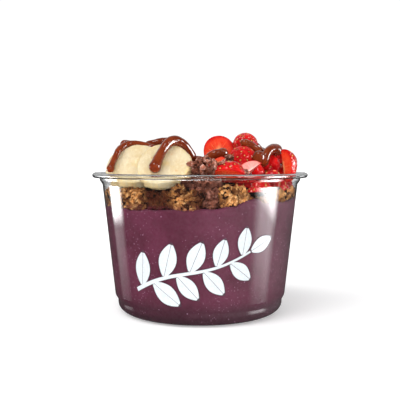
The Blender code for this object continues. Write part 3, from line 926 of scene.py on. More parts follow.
def layer(name: str, levels: tuple[Level, Level], outline: Callable, shares: Sequence, segments: int):
    """A solid between two levels.

    Args:
        name: The mesh's name.
        levels: The bottom and the top, as functions of x and y.
        outline: The outer radius in x and y for an angle and a height.
        shares: Rows as (share of the radius, share of the height), from the middle below to the middle above.
        segments: How many points each row has.

    Returns:
        The mesh.
    """
    bottom, top = levels
    rings = []
    for share, height in shares:
        ring = []
        for i in range(segments if share > 0 else 1):
            angle = math.tau * i / segments
            z = bottom(0, 0) + height * (top(0, 0) - bottom(0, 0))
            for _ in range(3):
                x, y = (share * value for value in outline(angle, z))
                z = bottom(x, y) + height * (top(x, y) - bottom(x, y))
            ring.append((x, y, z))
        rings.append(np.array(ring))
    return skin(rings, name)


def roughened(mesh: bpy.types.Mesh, depth: float, grain: float, seed: float) -> bpy.types.Mesh:
    """Pushes a mesh's points in and out by noise of that grain size."""
    points = [(vert.co.copy(), vert.normal.copy()) for vert in mesh.vertices]
    for vert, (place, normal) in zip(mesh.vertices, points):
        value = noise.fractal(place / grain + Vector((seed, 0, 0)), 0.6, 2.0, 3)
        vert.co = place + normal * value * depth
    mesh.update()
    return mesh


def held_in(mesh: bpy.types.Mesh, cup: Cup, gap: float) -> bpy.types.Mesh:
    """Draws in whatever reaches past the inside of the cup's wall."""
    for vert in mesh.vertices:
        reach = math.hypot(vert.co.x, vert.co.y)
        most = cup.wall_radius(vert.co.z) - cup.wall / 2 - gap
        if reach > most:
            vert.co.x *= most / reach
            vert.co.y *= most / reach
    mesh.update()
    return mesh


@dataclass
class AcaiFill:
    """The acai, which reaches just into the wall so that no air shows between them."""

    cup: Cup
    levels: Levels
    segments: int = 160

    def smear(self, x: float, y: float) -> float:
        """How much higher the acai clings to the wall than it lies inside."""
        angle = math.atan2(y, x)
        ripple = 0.7 * math.sin(9 * angle + 0.5) + 0.5 * math.sin(23 * angle) + 0.3 * math.sin(41 * angle)
        cling = smooth_step(17 * MM, 22 * MM, x) * smooth_step(32 * MM, 28 * MM, x)
        edge = smooth_step(44 * MM, 51 * MM, x)
        return (0.5 * ripple + 2.4 * cling + 2.2 * edge) * MM * smooth_step(44 * MM, 51 * MM, math.hypot(x, y))

    def build(self) -> None:
        """The fill, from the cup's own foot path up to an uneven top."""
        foot = [(r, z) for r, z in self.cup.eased(self.cup.foot_path()) if r > 0][::-1]
        rings = [np.array([(0.0, 0.0, foot[0][1])])]
        turns = [math.tau * i / self.segments for i in range(self.segments)]
        for radius, z in foot:
            rings.append(np.array([(radius * math.cos(a), radius * math.sin(a), z) for a in turns]))
        start = foot[-1][1]
        for height in (0.25, 0.5, 0.75, 0.9, 0.97, 1.0):
            ring = []
            for a in turns:
                x, y = (self.cup.wall_radius(60 * MM) * value for value in (math.cos(a), math.sin(a)))
                top = self.levels.acai(x, y) + self.smear(x, y)
                z = start + (top - start) * height
                radius = self.cup.wall_radius(z) - (0.5 * MM if height == 1.0 else 0.0)
                ring.append((radius * math.cos(a), radius * math.sin(a), z))
            rings.append(np.array(ring))
        for share in (0.985, 0.95, 0.9, 0.8, 0.65, 0.5, 0.35, 0.2):
            ring = []
            for a in turns:
                x, y = (share * self.cup.wall_radius(60 * MM) * value for value in (math.cos(a), math.sin(a)))
                ring.append((x, y, self.levels.acai(x, y) + self.smear(x, y)))
            rings.append(np.array(ring))
        rings.append(np.array([(0.0, 0.0, self.levels.acai(0, 0))]))
        settled(piece_from("acai_fill", skin(rings, "acai_fill"), [ACAI]), "acai", "acai")


def lumps(
    places: Sequence[tuple[Vector, float]], rough: float, flat: float, fineness: int, seed: int
) -> bmesh.types.BMesh:
    """Rough rounded lumps, joined into one shape with a tone for each, darker in their dents as painted shade.

    Args:
        places: Their middles and radii.
        rough: How far the surface strays, as a share of the radius.
        flat: How far the third axis is shortened, as a share.
        fineness: How often each ball is divided.
        seed: The seed of their shapes.

    Returns:
        The shape, as a bmesh.
    """
    whole = bmesh.new()
    tone_with_dent_shade = whole.verts.layers.float.new("tone")
    lot = random.Random(seed)
    for middle, radius in places:
        made = bmesh.ops.create_icosphere(whole, subdivisions=fineness, radius=1.0)["verts"]
        offset = Vector([lot.uniform(-40, 40) for _ in range(3)])
        spin = Euler([lot.uniform(0, math.tau) for _ in range(3)]).to_matrix()
        stretch = (lot.uniform(1.0, 1.25), lot.uniform(0.85, 1.0), 1.0 - flat)
        tone = lot.uniform(0.2, 1.0)
        for vert in made:
            value = noise.noise(vert.co * 1.2 + offset) * 0.8
            value += abs(noise.noise(vert.co * 2.4 + offset)) * 0.7 - 0.2
            value += noise.noise(vert.co * 6.0 + offset) * 0.18
            reach = vert.co * (1 + value * rough)
            vert.co = middle + spin @ Vector(a * b for a, b in zip(reach, stretch)) * radius
            # Painted shade: the tone falls towards nothing where the surface dips in.
            vert[tone_with_dent_shade] = tone * smooth_step(-0.45, 0.35, value)
    outward(whole)
    return whole


@dataclass
class GranolaBed:
    """Clusters of toasted oats: a lumpy core, painted dark as the shade in the gaps, with flakes strewn over it."""

    cup: Cup
    levels: Levels
    flakes: float = 0.95e6
    segments: int = 240
    clusters: int = 34
    CLUSTERS = (
        (12.4, 65.6, 4.4),
        (18.8, 65.2, 4.4),
        (15.4, 62.8, 4.0),
        (10.0, 62.0, 2.6),
        (-39.5, 63.0, 3.4),
        (-34.5, 66.0, 3.2),
        (-10.6, 66.2, 3.6),
        (-6.6, 62.6, 3.2),
        (-22.0, 61.6, 3.0),
        (-29.0, 62.0, 3.0),
        (38.0, 66.4, 2.6),
        (42.6, 65.6, 2.8),
        (46.8, 66.0, 2.6),
    )

    def outline(self, angle: float, z: float) -> tuple[float, float]:
        """The core's outer line, a little inside the wall, with a hollow for the clump of nibs."""
        hollow = 3.6 * math.exp(-(((angle - math.tau * 0.75 - 0.11) / 0.085) ** 2))
        radius = self.cup.wall_radius(z) - (1.8 + hollow) * MM
        return radius * math.cos(angle), radius * math.sin(angle)

    def underside(self, x: float, y: float) -> float:
        """The core's underside, sunk a little into the acai."""
        return self.levels.acai(x, y) - 1.2 * MM

    def crown(self, x: float, y: float) -> float:
        """The core's top."""
        return self.levels.granola(x, y) - 0.8 * MM

    def cluster_places(self) -> list[tuple[Vector, float]]:
        """Middles and radii of the clusters against the wall: the placed ones at the front, then all round."""
        lot = random.Random(31)
        rows = [(-math.acos(x / 49), z * MM, radius * MM) for x, z, radius in self.CLUSTERS]
        for i in range(self.clusters):
            angle = math.pi * (i + lot.uniform(0.2, 0.8)) / self.clusters
            rows.append((angle, lot.uniform(61.5, 66.5) * MM, lot.uniform(2.4, 4.2) * MM))
        found = []
        for angle, z, radius in rows:
            reach = self.cup.wall_radius(z) - radius * 0.95
            found.append((Vector((reach * math.cos(angle), reach * math.sin(angle), z)), radius))
        return found

    def build(self) -> None:
        """The core with its clusters, then the flakes over both."""
        shares = [(0.0, 0.0), (0.5, 0.0), (0.9, 0.0), (0.96, 0.0), (1.0, 0.08)]
        shares += [(1.0, h) for h in (0.2, 0.32, 0.44, 0.56, 0.68, 0.8, 0.92)]
        shares += [(s, 1.0) for s in (0.985, 0.96, 0.93, 0.9, 0.87, 0.84, 0.8, 0.72, 0.62, 0.5, 0.35, 0.2, 0.0)]
        core = layer("granola_core", (self.underside, self.crown), self.outline, shares, self.segments)
        roughened(core, 2.0 * MM, 5.5 * MM, 3.0)
        whole = lumps(self.cluster_places(), 0.3, 0.15, 3, 17)
        whole.from_mesh(core)
        core = held_in(mesh_of("granola_core", whole), self.cup, 0.5 * MM)
        base = core.copy()
        show_by(base, self.shown)
        kinds = Kinds("oat_flake", 8, 3, Vector((1.9, 1.06, 0.44)) * MM, 0.2, 5)
        flakes = Scatter("strewn_oats").over(
            base,
            "oat_flakes",
            density=self.flakes,
            smallest=0.6,
            largest=1.25,
            tilt=0.75,
            seed=11,
            pieces=kinds.collection,
            finish=OATS.material(),
        )
        kinds.drop()
        held_in(flakes, self.cup, 0.05 * MM)
        settled(piece_from("granola_core", core, [OAT_CORE]), "granola", "granola")
        settled(piece_from("oat_flakes", flakes), "granola")

    def shown(self, place: Vector, normal: Vector) -> float:
        """Flakes lie thick at the wall, in patches, and thin under the fruit."""
        reach = math.hypot(place.x, place.y)
        if normal.z < -0.6:
            return 0.0
        patch = smooth_step(-0.22, 0.12, noise.noise(place / (5 * MM)))
        clump = smooth_step(3.4 * MM, 5.4 * MM, abs(place.x - 5.4 * MM)) if place.y < 0 else 1.0
        return (0.25 + 0.75 * patch) * (0.10 + 0.90 * smooth_step(42 * MM, 47 * MM, reach)) * clump


@dataclass
class NibHeap:
    """The ridge of cacao nibs: a core painted dark as the shade in the gaps, nibs strewn thick over it, and larger
    ones where they show.
    """

    cup: Cup
    levels: Levels
    LARGE = (
        (-3.6, -39.0, 80.6, 1.9),
        (-0.2, -39.8, 82.0, 2.2),
        (3.6, -40.2, 82.4, 2.4),
        (7.0, -40.8, 80.8, 2.3),
        (9.8, -39.8, 80.4, 1.9),
        (-2.2, -41.0, 77.6, 2.2),
        (1.6, -41.8, 78.4, 2.3),
        (5.2, -42.4, 77.8, 2.1),
        (-4.4, -42.6, 73.6, 2.2),
        (-6.6, -41.6, 71.4, 2.3),
        (-7.8, -39.4, 69.6, 2.4),
        (-0.6, -44.0, 72.8, 2.4),
        (3.4, -44.6, 72.2, 2.5),
        (7.4, -45.0, 71.2, 2.8),
        (-3.4, -45.4, 69.4, 1.9),
        (0.8, -45.8, 68.4, 2.2),
        (3.8, -47.4, 66.4, 2.9),
        (7.6, -47.0, 66.0, 2.7),
        (5.6, -47.8, 63.2, 3.1),
        (2.6, -48.8, 62.0, 2.0),
        (8.8, -47.8, 62.0, 2.1),
        (5.4, -48.8, 60.2, 1.9),
        (15.2, -23.4, 83.4, 2.3),
        (23.0, -31.6, 77.0, 1.7),
        (12.2, -31.0, 82.0, 1.3),
    )

    def outline(self, angle: float, z: float) -> tuple[float, float]:
        """The long blunt oval on which the core stands."""
        across, along = math.cos(angle), math.sin(angle)
        width, length = self.levels.ridge_half_width - 1.6 * MM, self.levels.ridge_half_length - 3 * MM
        x = self.levels.ridge_x + width * math.copysign(abs(across) ** 0.7, across)
        return x, length * math.copysign(abs(along) ** 0.9, along)

    def build(self) -> None:
        """The core, its strewn nibs and the larger ones."""
        shares = [(0.0, 0.0), (0.5, 0.0), (1.0, 0.0), (1.0, 0.3), (1.0, 0.6), (1.0, 0.9)]
        shares += [(s, 1.0) for s in (0.94, 0.85, 0.75, 0.65, 0.55, 0.45, 0.35, 0.25, 0.12, 0.0)]
        core = layer("nib_core", (self.underside, self.crown), self.outline, shares, 96)
        roughened(core, 1.2 * MM, 4 * MM, 8.0)
        held_in(core, self.cup, 0.8 * MM)
        base = core.copy()
        show_by(base, self.shown)
        kinds = Kinds("nib", 8, 7, Vector((2.1, 1.6, 1.25)) * MM, 0.5, 21)
        nibs = Scatter("strewn_nibs").over(
            base,
            "cacao_nib_heap",
            density=0.16e6,
            smallest=0.65,
            largest=1.35,
            tilt=1.2,
            seed=4,
            pieces=kinds.collection,
            finish=NIBS.material(),
        )
        kinds.drop()
        held_in(nibs, self.cup, 0.05 * MM)
        settled(piece_from("nib_core", core, [NIB_CORE]), "cacao", "cacao_nibs")
        settled(piece_from("cacao_nib_heap", nibs), "cacao")
        self.build_large()

    def underside(self, x: float, y: float) -> float:
        """The core's underside, in the granola."""
        return self.levels.acai(x, y) + 1 * MM

    def crown(self, x: float, y: float) -> float:
        """The core's top, below that of the nibs."""
        return max(self.levels.nibs(x, y) - 2.2 * MM, self.levels.granola(x, y))

    def shown(self, place: Vector, normal: Vector) -> float:
        """Nibs lie wherever the core doesn't look down."""
        return 1.0 if normal.z > -0.3 else 0.0

    def build_large(self) -> None:
        """Larger nibs and clumps at the front, and single ones among the fruit."""
        places = [(Vector((x, y, z)) * MM, radius * MM) for x, y, z, radius in self.LARGE]
        mesh = held_in(mesh_of("large_nibs", lumps(places, 0.7, 0.2, 4, 9)), self.cup, 0.05 * MM)
        settled(piece_from("large_nibs", mesh, [NIBS]), "cacao")


# ---------------------------------------------------------------------------------------------------------
# The toppings
# ---------------------------------------------------------------------------------------------------------


def turned(up: float, roll: float, turn: float) -> Matrix:
    """The turn of a piece: rolled about -Y, its front tilted up, then turned to the right, in degrees."""
    return Euler((math.radians(-up), math.radians(roll), math.radians(turn)), "YXZ").to_matrix()


def placed_in(mesh: bpy.types.Mesh, turn: Matrix, node: str) -> tuple[Matrix, float, Vector]:
    """Turns a mesh and moves it into a node's box, and returns the turn, scale and move."""
    points = np.array([turn @ vert.co for vert in mesh.vertices])
    scale, shift = fitting(points, node)
    mesh.transform(Matrix.Translation(shift) @ Matrix.Scale(scale, 4) @ turn.to_4x4())
    return turn, scale, shift


@dataclass
class BananaRow:
    """The row of banana slices, leaning back like tiles."""

    radius: float = 14.2 * MM
    thickness: float = 6.2 * MM
    edge: float = 1.3 * MM
    SLICES = (
        ("banana_1", 9, 42, 0.97),
        ("banana_2", 8, 42, 0.97),
        ("banana_3", 12, 42, 0.96),
        ("banana_4", 2, 44, 0.95),
        ("banana_5", 6, 44, 0.96),
        ("banana_6", 4, 44, 0.95),
        ("banana_7", -2, 44, 0.95),
        ("banana_8", -8, 44, 0.90),
    )

    def profile(self) -> list[tuple[float, float]]:
        """Rows as (distance in from the outline, depth), from the middle of the front to that of the back."""
        half = self.thickness / 2
        front = [(1.0, -half + 0.5 * MM), (0.92, -half + 0.35 * MM), (0.8, -half + 0.2 * MM)]
        front += [(0.6, -half + 0.05 * MM), (0.4, -half), (0.22, -half + 0.02 * MM)]
        rows = [(share * self.radius, depth) for share, depth in front]
        for i in range(7):
            angle = math.radians(90 * i / 6)
            rows.append((self.edge * (1 - math.sin(angle)), -half + self.edge * (1 - math.cos(angle)) + 0.05 * MM))
        rows.append((-0.1 * MM, 0.0))
        for row in rows[-2:5:-1]:
            rows.append((row[0], -row[1]))
        rows += [(share * self.radius, -depth) for share, depth in reversed(front)]
        return rows

    def build(self) -> None:
        """Each slice in the place of its node."""
        for number, (node, left, lean, size) in enumerate(self.SLICES):
            mesh = self.slice(node, size, number)
            placed_in(mesh, turned(lean, 0, -left), node)
            settled(piece_from(f"banana_slice_{number + 1}", mesh, [BANANA]), "banana", node)

    def slice(self, name: str, size: float, seed: int) -> bpy.types.Mesh:
        """A slice that looks to -Y, a soft three-sided disc with rounded edges."""
        rings = []
        for inset, depth in self.profile():
            ring = []
            for i in range(96 if inset < self.radius * 0.999 else 1):
                angle = math.tau * i / 96
                outline = self.radius * (1 + 0.025 * math.cos(3 * angle + 0.4) + 0.02 * math.cos(2 * angle))
                outline += 0.12 * MM * math.sin(7 * angle + seed)
                reach = (outline - inset * outline / self.radius) * size
                ring.append((reach * math.cos(angle), depth, reach * math.sin(angle)))
            rings.append(np.array(ring))
        mesh = skin(rings, name)
        faces = mesh.uv_layers.new(name="face")
        for loop in mesh.loops:
            co = mesh.vertices[loop.vertex_index].co
            faces.data[loop.index].uv = (
                0.5 + co.x / (2 * self.radius * size),
                0.5 + co.z / (2 * self.radius * size),
            )
        return roughened(mesh, 0.18 * MM, 4 * MM, float(seed * 7))


class Cut(Enum):
    """How a strawberry was cut."""

    HALF = "half"
    QUARTER = "quarter"
    SLAB = "slab"

    def planes(self) -> list[tuple[Vector, Vector]]:
        """The cutting planes, as a point and the direction that is cut away."""
        middle, front, left = Vector((0, 0, 0)), Vector((0, -1, 0)), Vector((-1, 0, 0))
        if self is Cut.HALF:
            return [(middle, front)]
        if self is Cut.QUARTER:
            return [(middle, front), (middle, left)]
        return [(front * 3.5 * MM, front), (-front * 3.5 * MM, -front)]


@dataclass
class StrawberryPile:
    """The pile of cut strawberries, with their seeds."""

    length: float = 23.0 * MM
    radius: float = 9.6 * MM
    dimple_depth: float = 0.42 * MM
    dimple_radius: float = 0.85 * MM
    seed_points: list[tuple[Vector, Vector]] = field(default_factory=list)
    PALE = (15, 22, 26)
    # Pieces whose skin carries many pale specks of painted highlight.
    HIGHLIGHT_PAINTED = (2, 3, 4, 9, 14, 17, 19, 21, 23, 28)
    BITS = (
        (40.5, -6.0, 84.0, 4.0),
        (39.0, -11.0, 80.5, 4.0),
        (30.0, -24.0, 76.0, 3.6),
        (20.0, -28.0, 76.0, 3.6),
    )
    PIECES = (
        (Cut.HALF, -64, 98, -12, 0.83),
        (Cut.HALF, -86, 90, 38, 0.62),
        (Cut.HALF, -88, 90, 60, 0.66),
        (Cut.HALF, -88, 90, 84, 0.72),
        (Cut.HALF, -88, -90, 106, 0.74),
        (Cut.HALF, -88, 90, 130, 0.74),
        (Cut.HALF, -88, -90, 156, 0.74),
        (Cut.HALF, -90, 80, 0, 0.62),
        (Cut.HALF, -90, 0, 0, 0.70),
        (Cut.HALF, -90, 0, 0, 0.66),
        (Cut.HALF, -90, 180, 0, 0.70),
        (Cut.HALF, -90, 180, 0, 0.66),
        (Cut.HALF, -90, 0, 0, 0.70),
        (Cut.SLAB, 30, 60, -20, 0.52),
        (Cut.QUARTER, 25, -125, 10, 0.62),
        (Cut.SLAB, 60, 90, 10, 0.38),
        (Cut.QUARTER, 4, -18, -58, 0.84),
        (Cut.HALF, -140, 168, 0, 0.84),
        (Cut.HALF, -90, 60, 0, 0.60),
        (Cut.HALF, -120, 60, 0, 0.70),
        (Cut.HALF, 14, 10, -8, 0.92),
        (Cut.HALF, -60, 0, 60, 0.60),
        (Cut.HALF, -60, 60, 80, 0.68),
        (Cut.HALF, -90, 60, 40, 0.70),
        (Cut.QUARTER, -60, 60, 140, 0.74),
        (Cut.QUARTER, -50, 60, 180, 0.74),
        (Cut.HALF, 20, 0, 160, 0.74),
        (Cut.HALF, -118, 165, 0, 0.74),
        (Cut.HALF, -90, 0, 20, 0.68),
    )

    def shaped(self, unit: Vector, size: float) -> Vector:
        """The point of the whole berry that a point of a unit ball becomes; the tip is at -Z."""
        across = self.radius * size * (1 + 0.24 * unit.z) / 1.05
        return Vector((unit.x * across, unit.y * across, unit.z * self.length * size / 2))

    def seeds(self, cut: Cut, size: float, lot: random.Random) -> list[tuple[Vector, Vector]]:
        """Where the seeds of a piece lie, and which way each looks."""
        count = int(12 + 96 * size * size)
        golden = math.pi * (3 - math.sqrt(5))
        found = []
        for i in range(count):
            z = 1 - 2 * (i + 0.5) / count + lot.uniform(-0.012, 0.012)
            angle = i * golden + lot.uniform(-0.08, 0.08)
            flat = math.sqrt(max(0.0, 1 - z * z))
            unit = Vector((flat * math.cos(angle), flat * math.sin(angle), z))
            place = self.shaped(unit, size)
            up = Vector((unit.x / self.radius, unit.y / self.radius, 2 * unit.z / self.length)).normalized()
            if all((place - point).dot(away) < -0.9 * MM for point, away in cut.planes()):
                found.append((place, up))
        return found

    def piece(self, name: str, cut: Cut, size: float, seeds: list[tuple[Vector, Vector]]) -> bpy.types.Mesh:
        """A dimpled berry cut by flat planes, with its cut faces mapped round their core."""
        shape = bmesh.new()
        bmesh.ops.create_uvsphere(shape, u_segments=72, v_segments=44, radius=1.0)
        dimples = shape.verts.layers.float.new("dimple")
        near = KDTree(max(1, len(seeds)))
        for i, (place, _) in enumerate(seeds):
            near.insert(place, i)
        near.balance()
        for vert in shape.verts:
            unit = vert.co.copy()
            place = self.shaped(unit, size)
            distance = near.find(place)[2] if seeds else 1.0
            dent = math.exp(-((distance / self.dimple_radius) ** 2))
            vert[dimples] = dent
            swell = 0.25 * MM * noise.noise(place / (5 * MM) + Vector((size * 90, 0, 0)))
            vert.co = place + unit * (swell - dent * self.dimple_depth)
        face_map = shape.loops.layers.uv.new("face")
        for point, away in cut.planes():
            self.slice_off(shape, point, away, face_map, size)
        rims = [e for e in shape.edges if len(e.link_faces) == 2 and e.calc_face_angle(0) > 0.9]
        bmesh.ops.bevel(shape, geom=rims, offset=0.35 * MM, segments=2, affect="EDGES", material=0)
        outward(shape)
        mesh = mesh_of(name, shape)
        for face in mesh.polygons:
            face.use_smooth = face.material_index == 0
        return mesh

    def slice_off(self, shape: bmesh.types.BMesh, point: Vector, away: Vector, face_map, size: float) -> None:
        """Cuts a shape by a plane and closes it with a face of flesh."""
        geometry = list(shape.verts) + list(shape.edges) + list(shape.faces)
        cut = bmesh.ops.bisect_plane(
            shape, geom=geometry, plane_co=point, plane_no=away, clear_outer=True, dist=1e-7
        )
        rim = [item for item in cut["geom_cut"] if isinstance(item, bmesh.types.BMEdge)]
        for face in bmesh.ops.contextual_create(shape, geom=rim)["faces"]:
            face.material_index = 1
            for loop in face.loops:
                co = loop.vert.co
                across = co.x if abs(away.y) > 0.5 else co.y
                loop[face_map].uv = (
                    0.5 + across / (2.2 * self.radius * size),
                    0.5 + co.z / (1.05 * self.length * size),
                )

    def build(self) -> None:
        """Each piece in the place of its node, then all their seeds as one piece."""
        for number, (cut, up, roll, turn, size) in enumerate(self.PIECES, 1):
            node = f"strawberry_{number:02d}"
            seeds = self.seeds(cut, size, random.Random(number))
            mesh = self.piece(node, cut, size, seeds)
            spin, scale, shift = placed_in(mesh, turned(up, roll, turn), node)
            for place, way in seeds:
                lit_above = place - way * self.dimple_depth * 0.7
                self.seed_points.append((spin @ lit_above * scale + shift, spin @ way))
            # Some skins carry many pale specks of painted highlight.
            outside = HIGHLIGHT_PAINTED_SKIN if number in self.HIGHLIGHT_PAINTED else SKIN
            inside = PALE_FLESH if number in self.PALE else FLESH
            settled(piece_from(f"strawberry_piece_{number:02d}", mesh, [outside, inside]), "strawberry", node)
        self.bits()
        self.plant()

    def bits(self) -> None:
        """Small chunks that fill the gaps of the pile."""
        places = [(Vector((x, y, z)) * MM, radius * MM) for x, y, z, radius in self.BITS]
        settled(piece_from("strawberry_bits", mesh_of("strawberry_bits", lumps(places, 0.25, 0.1, 3, 4)), [SKIN]), "strawberry")

    def plant(self) -> None:
        """The seeds, planted in their dimples."""
        points = bpy.data.meshes.new("seed_points")
        points.from_pydata([place for place, _ in self.seed_points], [], [])
        ups = points.attributes.new("up", "FLOAT_VECTOR", "POINT")
        for item, (_, up) in zip(ups.data, self.seed_points):
            item.vector = up
        kinds = Kinds("seed", 3, 4, Vector((0.42, 0.62, 0.3)) * MM, 0.05, 2)
        seeds = Scatter("planted_seeds", planted=True).over(
            points,
            "strawberry_seeds",
            density=1.0,
            smallest=0.8,
            largest=1.1,
            tilt=0.12,
            seed=7,
            pieces=kinds.collection,
            finish=BerrySeed().material(),
        )
        kinds.drop()
        settled(piece_from("strawberry_seeds", seeds), "strawberry")


@dataclass
class SpreadRibbons:
    """Ribbons of chocolate spread that lie over the fruit."""

    solids: dict[str, bpy.types.Object]
    radius: float = 2.1 * MM
    sink: float = 0.45 * MM
    ROUTES = (
        ("spread_1", 0.80, ((-20, -14), (-26.5, -13), (-31.7, -13), (-37, -14.5), (-41, -17.5), (-46, -29))),
        ("spread_2", 1.00, ((-42, -7), (-38, -2), (-31, 3), (-24, 2), (-17, 6), (-12, 12))),
        ("spread_3", 1.20, ((-22.8, -43), (-19.5, -35.5), (-15.5, -30.5), (-11, -27), (-7.5, -25.5), (-4, -22))),
        ("spread_4", 1.10, ((-6, -14), (-3, -18), (1, -19), (4.5, -20), (8, -20.5), (11, -18), (14, -20))),
        ("spread_5", 0.95, ((22, -12), (25.5, -10.5), (29, -9.8), (33.5, -10))),
        ("spread_6", 1.30, ((42.5, -6), (39.5, -10), (36, -15), (32.5, -20), (28.5, -25.5))),
        ("spread_7", 1.00, ((45, 3), (48, -1), (49.5, -6))),
        ("spread_8", 0.95, ((10, 20), (17, 15), (24, 20), (32, 17), (38, 24))),
        ("spread_9", 0.95, ((-37, 26), (-29, 22), (-20, 27), (-12, 23))),
    )

    def route(self, points: Sequence[tuple[float, float]]) -> list[Vector]:
        """Points every half millimetre along a smooth curve through the given ones."""
        given = [Vector(point) * MM for point in points]
        ends = [given[0] * 2 - given[1], *given, given[-1] * 2 - given[-2]]
        made = []
        for before, start, end, after in zip(ends, ends[1:], ends[2:], ends[3:]):
            steps = max(1, round((end - start).length / (0.5 * MM)))
            for i in range(steps):
                t = i / steps
                line = start + (end - before) * (t / 2)
                bend = (before * 2 - start * 5 + end * 4 - after) * (t * t / 2)
                twist = (start * 3 - before - end * 3 + after) * (t**3 / 2)
                made.append(line + bend + twist)
        return [*made, given[-1]]

    def build(self) -> None:
        """Each ribbon over its node's own path."""
        for node, thickness, points in self.ROUTES:
            radius = self.radius * thickness
            solid = self.solids[node].data
            tree = BVHTree.FromPolygons([v.co for v in solid.vertices], [tuple(f.vertices) for f in solid.polygons])
            line = []
            for point in self.route(points):
                hit = tree.ray_cast(Vector((point.x, point.y, 0.2)), Vector((0, 0, -1)))[0]
                if hit:
                    line.append(Vector((point.x, point.y, hit.z - radius - self.sink)))
            self.lay(node, self.smoothed(line), radius)

    def smoothed(self, line: list[Vector], passes: int = 14) -> list[Vector]:
        """Evens out the rise and fall of a line."""
        for _ in range(passes):
            line = [line[0]] + [(a + b * 2 + c) / 4 for a, b, c in zip(line, line[1:], line[2:])] + [line[-1]]
        return line

    def lay(self, node: str, line: list[Vector], radius: float) -> None:
        """One ribbon along its line, with round ends that are a little fuller."""
        curve = bpy.data.curves.new(node, "CURVE")
        curve.dimensions = "3D"
        curve.bevel_depth = 1.0
        curve.bevel_resolution = 7
        curve.use_fill_caps = True
        spline = curve.splines.new("POLY")
        spline.points.add(len(line) - 1)
        lengths = [0.0]
        for before, after in zip(line, line[1:]):
            lengths.append(lengths[-1] + (after - before).length)
        for point, place, along in zip(spline.points, line, lengths):
            from_end = min(along, lengths[-1] - along)
            swell = 0.30 * math.exp(-((from_end / (1.6 * radius)) ** 2)) + 0.07 * math.sin(along / (3.1 * MM))
            full = radius * (1 + swell)
            rounded = math.sqrt(max(0.02, 1 - (1 - min(1.0, from_end / full)) ** 2))
            point.co = (*place, 1.0)
            point.radius = full * rounded
        tube = piece_from(node + "_tube", curve)
        mesh = baked(tube, node)
        shape = bmesh.new()
        shape.from_mesh(mesh)
        bmesh.ops.remove_doubles(shape, verts=shape.verts, dist=1e-6)
        outward(shape)
        made = mesh_of(node, shape)
        roughened(made, 0.12 * MM, 3 * MM, len(line) * 1.0)
        settled(piece_from("ribbon_" + node[-1], made, [SPREAD]), "chocolate_spread", node)


